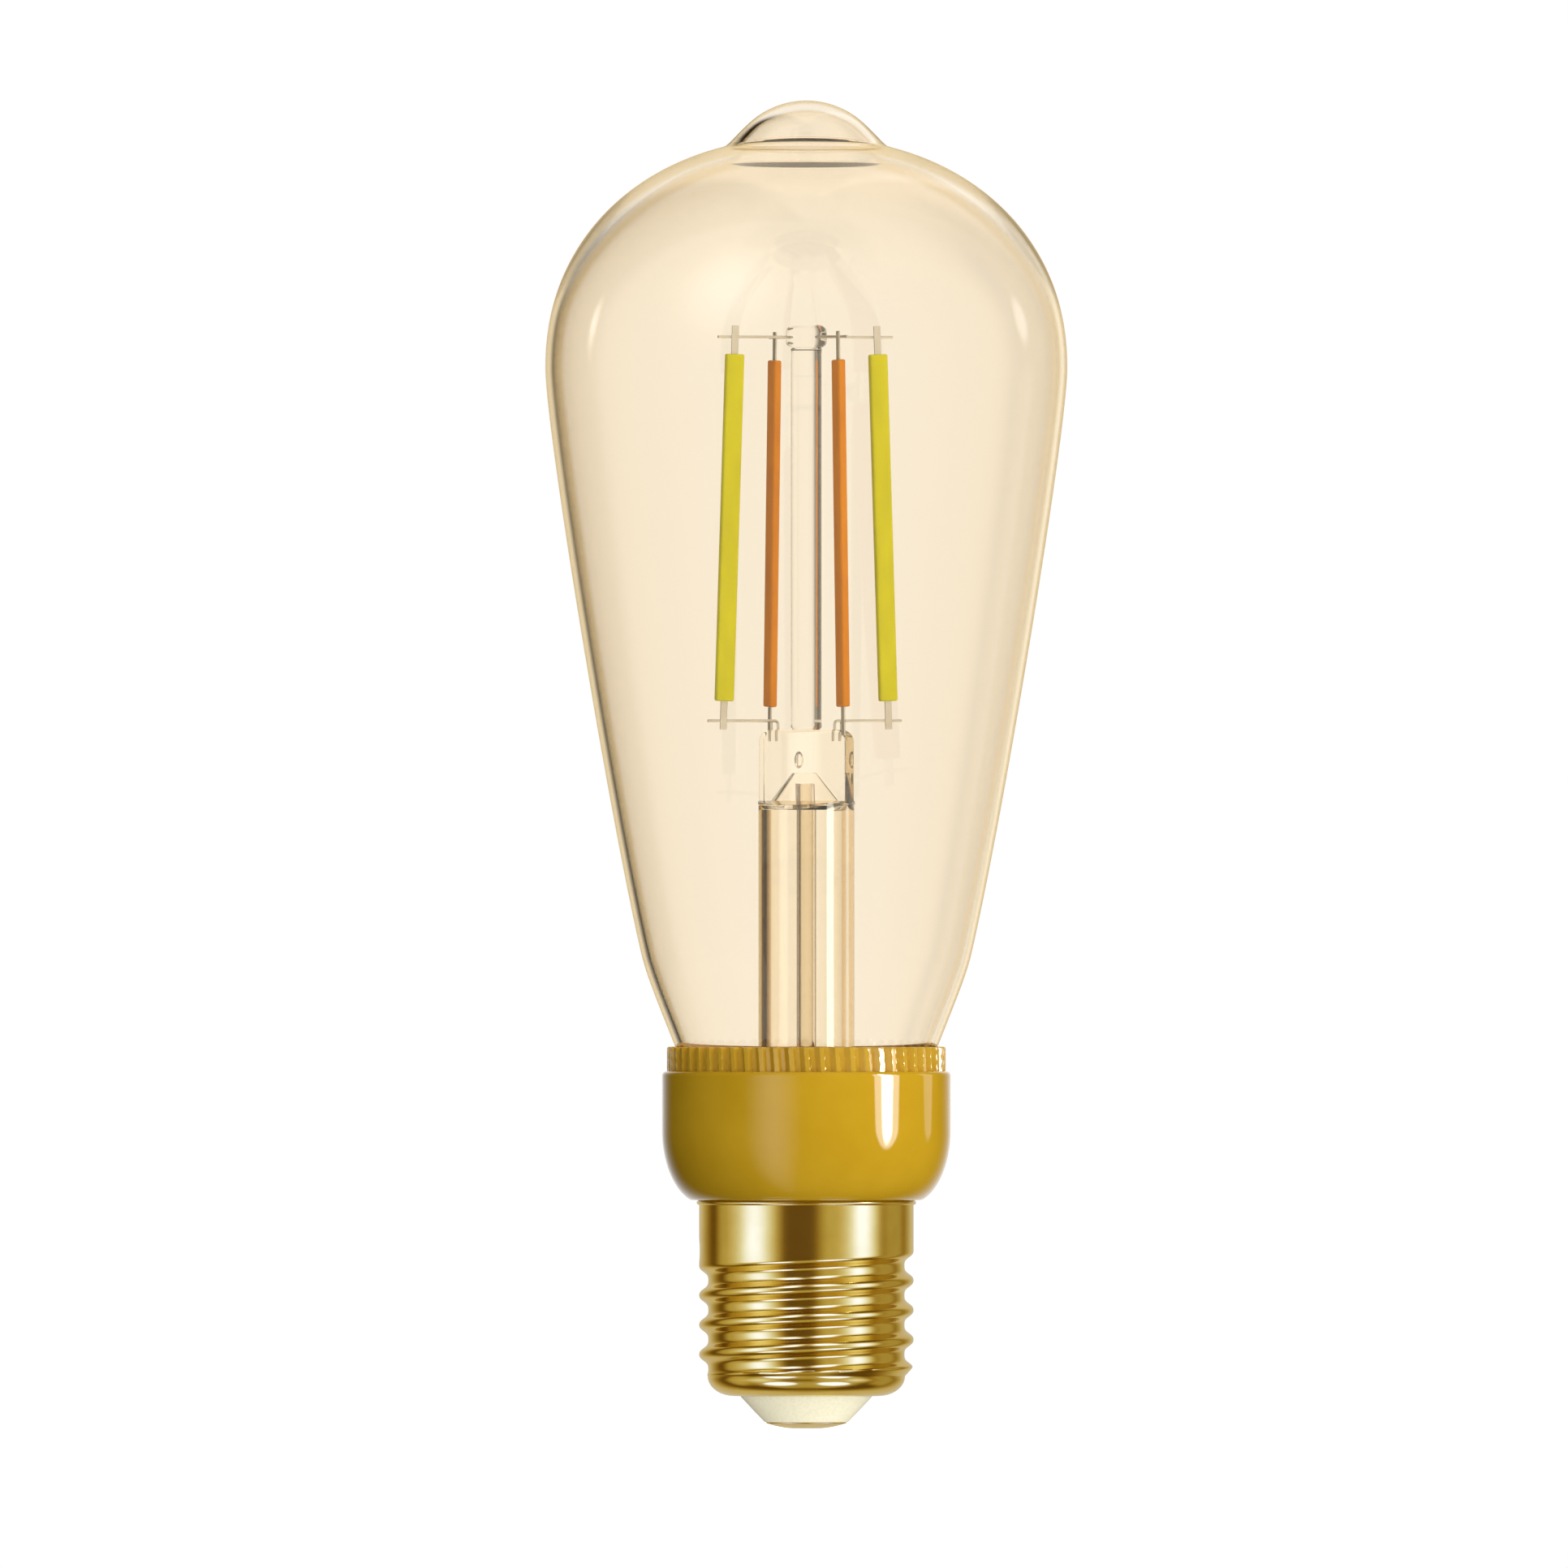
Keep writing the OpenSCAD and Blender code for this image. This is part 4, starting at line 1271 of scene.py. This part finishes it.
class Sky:
    """Node work that turns a direction into light."""

    def __init__(self, tree: Tree, direction: Socket) -> None:
        """Reads azimuth and elevation from a direction.

        Args:
            tree: The node tree to build in.
            direction: A vector that points away from the lamp.
        """
        self.tree = tree
        unit = add_node(tree, "VectorMath", {0: direction}, operation="NORMALIZE").outputs[0]
        self.axes = add_node(tree, "SeparateXYZ", {0: unit})
        back = self.math("MULTIPLY", self.axes.outputs[1], -1.0)
        self.azimuth = self.math("ARCTAN2", self.axes.outputs[0], back)
        self.elevation = self.math("ARCSINE", self.axes.outputs[2])

    def math(self, operation: str, *values: float | Socket) -> Socket:
        """Adds a math node and returns its value."""
        return calculate(self.tree, operation, *values)

    def away(self, value: Socket, centre: float) -> Socket:
        """How far an angle is from a centre in degrees, the short way round, in radians."""
        gap = self.math("SUBTRACT", value, math.radians(centre))
        return self.math("ABSOLUTE", self.math("WRAP", gap, math.pi, -math.pi))

    def inside(self, value: Socket, half: float, feather: float) -> Socket:
        """Gives 1 within the half width and 0 beyond it, with a soft edge."""
        return eased(self.tree, value, half - feather, half + feather, 1.0, 0.0)

    def panel(self, panel: Panel) -> Socket:
        """Gives a panel's light by direction.

        A square panel is the product of a window in azimuth and one in elevation. A rounded
        one is a window on the root of the sum of both squares, each over its half size.
        """
        across = self.away(self.azimuth, panel.azimuth)
        upright = self.away(self.elevation, panel.elevation)
        width, height = math.radians(panel.half_width), math.radians(panel.half_height)
        feather = math.radians(panel.feather)
        if panel.rounded:
            x = self.math("POWER", self.math("DIVIDE", across, width), 2.0)
            y = self.math("POWER", self.math("DIVIDE", upright, height), 2.0)
            distance = self.math("SQRT", self.math("ADD", x, y))
            shape = self.inside(distance, 1.0, min(feather / width, 1.0))
        else:
            windows = self.inside(across, width, feather), self.inside(upright, height, feather)
            shape = self.math("MULTIPLY", *windows)
        return self.math("MULTIPLY", shape, panel.power)

    def total(self, panels: tuple[Panel, ...]) -> Socket:
        """Adds up several panels."""
        light = self.panel(panels[0])
        for panel in panels[1:]:
            light = self.math("ADD", light, self.panel(panel))
        return light


@dataclass(frozen=True)
class Tent:
    """A light tent that only some pieces mirror: a thin shell round the lamp, clear to everything else."""

    name: str
    radius: float
    height: float
    pieces: tuple[str, ...]
    panels: tuple[Panel, ...]
    stops: tuple[tuple[float, str], ...] = ((0.0, "#000000"), (1.0, "#FFFFFF"))
    peak: float = 1.0
    gain: float = 1.0
    tall: float = 1.0
    matt: bool = False

    def build(self) -> None:
        """Makes the shell; its glow is added to whatever is seen through it."""
        tilt = np.linspace(-math.pi / 2, math.pi / 2, 25)
        rise = self.radius * self.tall * np.sin(tilt)
        profile = np.column_stack((self.radius * np.cos(tilt), self.height + rise))
        shell = turned(self.name, profile, 48, False, 180.0)
        material, tree = blank_material(self.name)
        place = add_node(tree, "TexCoord").outputs["Object"]
        middle = (0.0, 0.0, self.height * MM)
        out = add_node(tree, "VectorMath", {0: place, 1: middle}, operation="SUBTRACT").outputs[0]
        sky = Sky(tree, out)
        level = sky.math("DIVIDE", sky.total(self.panels), self.peak)
        inputs = {"Color": ramp(tree, level, *self.stops), "Strength": self.peak * self.gain}
        glow = add_node(tree, "Emission", inputs).outputs[0]
        clear = add_node(tree, "BsdfTransparent").outputs[0]
        finish_with(tree, add_node(tree, "AddShader", {0: glow, 1: clear}))
        material.cycles.emission_sampling = "NONE"
        shell.data.materials.append(material)
        hidden = ("camera", "glossy" if self.matt else "diffuse", "transmission", "volume_scatter", "shadow")
        for kind in hidden:
            setattr(shell, f"visible_{kind}", False)
        receivers = bpy.data.collections.new(f"{self.name}_pieces")
        for piece in self.pieces:
            receivers.objects.link(bpy.data.objects[piece])
        shell.light_linking.receiver_collection = receivers


BRASS_TENT = Tent(
    "brass_tent", 900.0, 15.0,
    ("threaded_shell", "domed_contact"),
    (
        Panel(-58, 20, 5, 32, 1.62, 20),
        Panel(-97, 13, 0, 45, 0.45, 10),
        Panel(63, 17, 5, 32, 1.65, 17),
        Panel(27, 13, 0, 34, 0.48, 11),
        Panel(108, 16, 0, 40, 0.36, 8),
        Panel(180, 45, 0, 75, 0.56, 22),
        Panel(-27, 14, 50, 22, 1.7, 9),
        Panel(24, 16, 50, 22, 1.7, 9),
        Panel(0, 65, 62, 24, 0.3, 14),
        Panel(0, 80, -58, 26, 0.42, 14),
        Panel(-40, 24, -50, 12, 2.4, 4, True),
        Panel(42, 24, -50, 12, 2.4, 4, True),
    ),
    (
        (0.0, "#1F1605"),
        (0.047, "#261C07"),
        (0.127, "#3C3217"),
        (0.251, "#4B4835"),
        (0.323, "#555248"),
        (0.462, "#5D6172"),
        (0.655, "#68729F"),
        (1.0, "#7B8DFC"),
    ),
    1.7,
    3.9,
)

PLASTIC_TENT = Tent(
    "plastic_tent", 80.0, 40.0,
    ("collar_shell", "toothed_band"),
    (
        Panel(61, 11.5, 11, 26, 7, 0.8, True),
        Panel(61, 5.5, 12, 23, 22, 0.8, True),
        Panel(-24, 12, -6, 40, 1.6, 12, True),
        Panel(104, 7, 12, 19, 1.4, 1, True),
        Panel(180, 40, 0, 60, 1, 18),
    ),
    peak=30.0,
)

GLASS_TENT = Tent(
    "glass_tent", 1000.0, 80.0,
    ("glass_bulb",),
    (
        Panel(-41, 22, 39, 20, 2.6, 20, True),
        Panel(-111, 2.2, 14, 6, 3.4, 2.2, True),
        Panel(113, 4, 15, 6, 2, 2, True),
        Panel(113, 6, -14, 16, 0.35, 4),
        Panel(180, 27, 0, 80, 0.9, 5),
        Panel(134, 24, 0, 70, 0.8, 8),
    ),
    ((0.0, "#000000"), (0.225, "#786A50"), (1.0, "#FFFFFF")),
    4.0,
)

STEM_TENT = Tent(
    "stem_tent", 13.0, 62.0,
    ("stem_glass",),
    (
        Panel(46.5, 7.5, 0, 85, 12, 0.8),
        Panel(-44, 8.5, 0, 85, 3, 4),
    ),
    peak=14.0,
    tall=4.5,
)

INSULATOR_TENT = Tent(
    "insulator_tent", 300.0, 3.0,
    ("pressed_insulator",),
    (Panel(0, 180, -40, 50, 0.7, 20),),
    matt=True,
)

PHOSPHOR_TENT = Tent(
    "phosphor_tent", 350.0, 110.0,
    ("coating_cool_left", "coating_cool_right", "coating_warm_left", "coating_warm_right"),
    (Panel(0, 180, 0, 90, 0.5, 1),),
    matt=True,
)


@dataclass(frozen=True)
class Room:
    """What surrounds the lamp, by the kind of ray that looks at it.

    The backdrop is plain white. Through glass it stays white straight ahead and to the
    right, with a dark flag far to the left. In gloss the room is dim, and matt
    surfaces get a broad soft fill from one side.
    """

    white: float = 1.01
    through: float = 1.07
    flag: str = "#2A1C0A"
    dark: Panel = Panel(-133, 25, 0, 90, 1, 9)
    dim: str = "#3A2A10"
    fill: float = 1.82
    fill_from: tuple[float, float, float] = (0.62, -0.76, 0.24)

    def build(self) -> None:
        """Builds the world."""
        world = bpy.data.worlds.new("room")
        bpy.context.scene.world = world
        world.use_nodes = True
        tree = world.node_tree
        tree.nodes.clear()
        direction = add_node(tree, "TexCoord").outputs["Generated"]
        sky = Sky(tree, direction)
        path = add_node(tree, "LightPath")
        colour = self.mix(tree, path.outputs["Is Glossy Ray"], self.matt(tree, sky, direction), linear(self.dim))
        colour = self.mix(tree, path.outputs["Is Transmission Ray"], colour, self.through_glass(tree, sky))
        white = (self.white, self.white, self.white, 1.0)
        colour = self.mix(tree, path.outputs["Is Camera Ray"], colour, white)
        background = add_node(tree, "Background", {"Color": colour})
        add_node(tree, "OutputWorld", {"Surface": background.outputs[0]})

    def mix(self, tree: Tree, factor, first, second) -> Socket:
        """Mixes two colours by a factor."""
        return add_node(tree, "Mix", {0: factor, 6: first, 7: second}, data_type="RGBA").outputs[2]

    def matt(self, tree: Tree, sky: Sky, direction: Socket) -> Socket:
        """The fill: its power times the square of half of one plus the cosine of the angle to its side."""
        side = np.array(self.fill_from) / np.linalg.norm(self.fill_from)
        lean = add_node(tree, "VectorMath", {0: direction, 1: tuple(side)}, operation="DOT_PRODUCT")
        half = sky.math("MULTIPLY_ADD", lean.outputs["Value"], 0.5, 0.5)
        return sky.math("MULTIPLY", sky.math("POWER", half, 2.0), self.fill)

    def through_glass(self, tree: Tree, sky: Sky) -> Socket:
        """White all round, less so overhead and underfoot, with the dark flag on the left."""
        left = sky.math("SUBTRACT", 1.0, sky.panel(self.dark))
        steep = sky.math("ABSOLUTE", sky.axes.outputs[2])
        level = eased(tree, steep, 0.5, 0.95, 1.0, 0.75)
        open_way = sky.math("MULTIPLY", left, level)
        white = (self.through, self.through, self.through, 1.0)
        return self.mix(tree, open_way, linear(self.flag), white)


@dataclass(frozen=True)
class Floor:
    """A pale paper floor that glows softly and fades out before it could draw a horizon."""

    reach: float = 240.0
    drop: float = 0.05
    glow: float = 1.0

    def build(self) -> None:
        """Makes the floor."""
        rings = np.column_stack((np.linspace(self.reach, 0.0, 10)[:-1], np.zeros(9)))
        points, faces = grid_surface(turned_grid(rings, 96), False, None, np.zeros(3))
        floor = new_object("floor", points - np.array((0.0, 0.0, self.drop)), faces, 30.0)
        material, tree = blank_material("pale_paper")
        place = add_node(tree, "TexCoord").outputs["Object"]
        away = add_node(tree, "VectorMath", {0: place}, operation="LENGTH").outputs["Value"]
        fade = eased(tree, away, 20.0 * MM, self.reach * MM, 0.0, 1.0)
        paper = object_noise(tree, 30.0, 3.0)
        inputs = {
            "Base Color": ramp(tree, paper, (0.3, "#F7F5F1"), (0.7, "#FBFAF7")),
            "Roughness": 0.9,
            "Emission Color": WHITE,
            "Emission Strength": self.glow,
        }
        surface = add_node(tree, "BsdfPrincipled", inputs).outputs[0]
        clear = add_node(tree, "BsdfTransparent").outputs[0]
        finish_with(tree, add_node(tree, "MixShader", {0: fade, 1: surface, 2: clear}))
        floor.data.materials.append(material)
        floor.visible_glossy = False
        floor.visible_diffuse = False


@dataclass(frozen=True)
class Camera:
    """A very long lens from far off, level with the middle of the lamp, so that its outline stays true."""

    distance: float = 8544.0
    lens: float = 1600.0
    sensor: float = 36.0
    aim: tuple[float, float] = (-2.74, 79.0)

    def build(self) -> None:
        """Places the camera and looks along +Y."""
        data = bpy.data.cameras.new("camera")
        data.lens = self.lens
        data.sensor_width = self.sensor
        data.clip_start = 0.5
        data.clip_end = 50.0
        camera = bpy.data.objects.new("camera", data)
        camera.location = (self.aim[0] * MM, -self.distance * MM, self.aim[1] * MM)
        camera.rotation_euler = (math.pi / 2, 0.0, 0.0)
        bpy.context.scene.collection.objects.link(camera)
        bpy.context.scene.camera = camera


@dataclass(frozen=True)
class Studio:
    """The room, floor, camera and tents."""

    room: Room = Room()
    floor: Floor = Floor()
    camera: Camera = Camera()
    tents: tuple[Tent, ...] = (BRASS_TENT, PLASTIC_TENT, GLASS_TENT, STEM_TENT, INSULATOR_TENT, PHOSPHOR_TENT)
    bounces: int = 24

    def build(self) -> None:
        """Sets up everything round the lamp; the tents need the pieces to be there."""
        scene = bpy.context.scene
        scene.view_settings.view_transform = "Standard"
        scene.view_settings.look = "None"
        scene.cycles.max_bounces = self.bounces
        scene.cycles.transmission_bounces = self.bounces
        scene.cycles.transparent_max_bounces = self.bounces
        for part in (self.camera, self.floor, self.room, *self.tents):
            part.build()


def main() -> None:
    """Builds every sub-assembly from the glass down to the cap, and then the studio."""
    logging.basicConfig(level=logging.INFO, format="%(name)s: %(message)s")
    shop = Workshop()
    for assembly in (GlassBulb(), Stem(), Filaments(), Collar(), ScrewCap(), Driver()):
        LOG.info("building %s", type(assembly).__name__)
        assembly.build(shop)
    Studio().build()


if __name__ == "__main__":
    main()
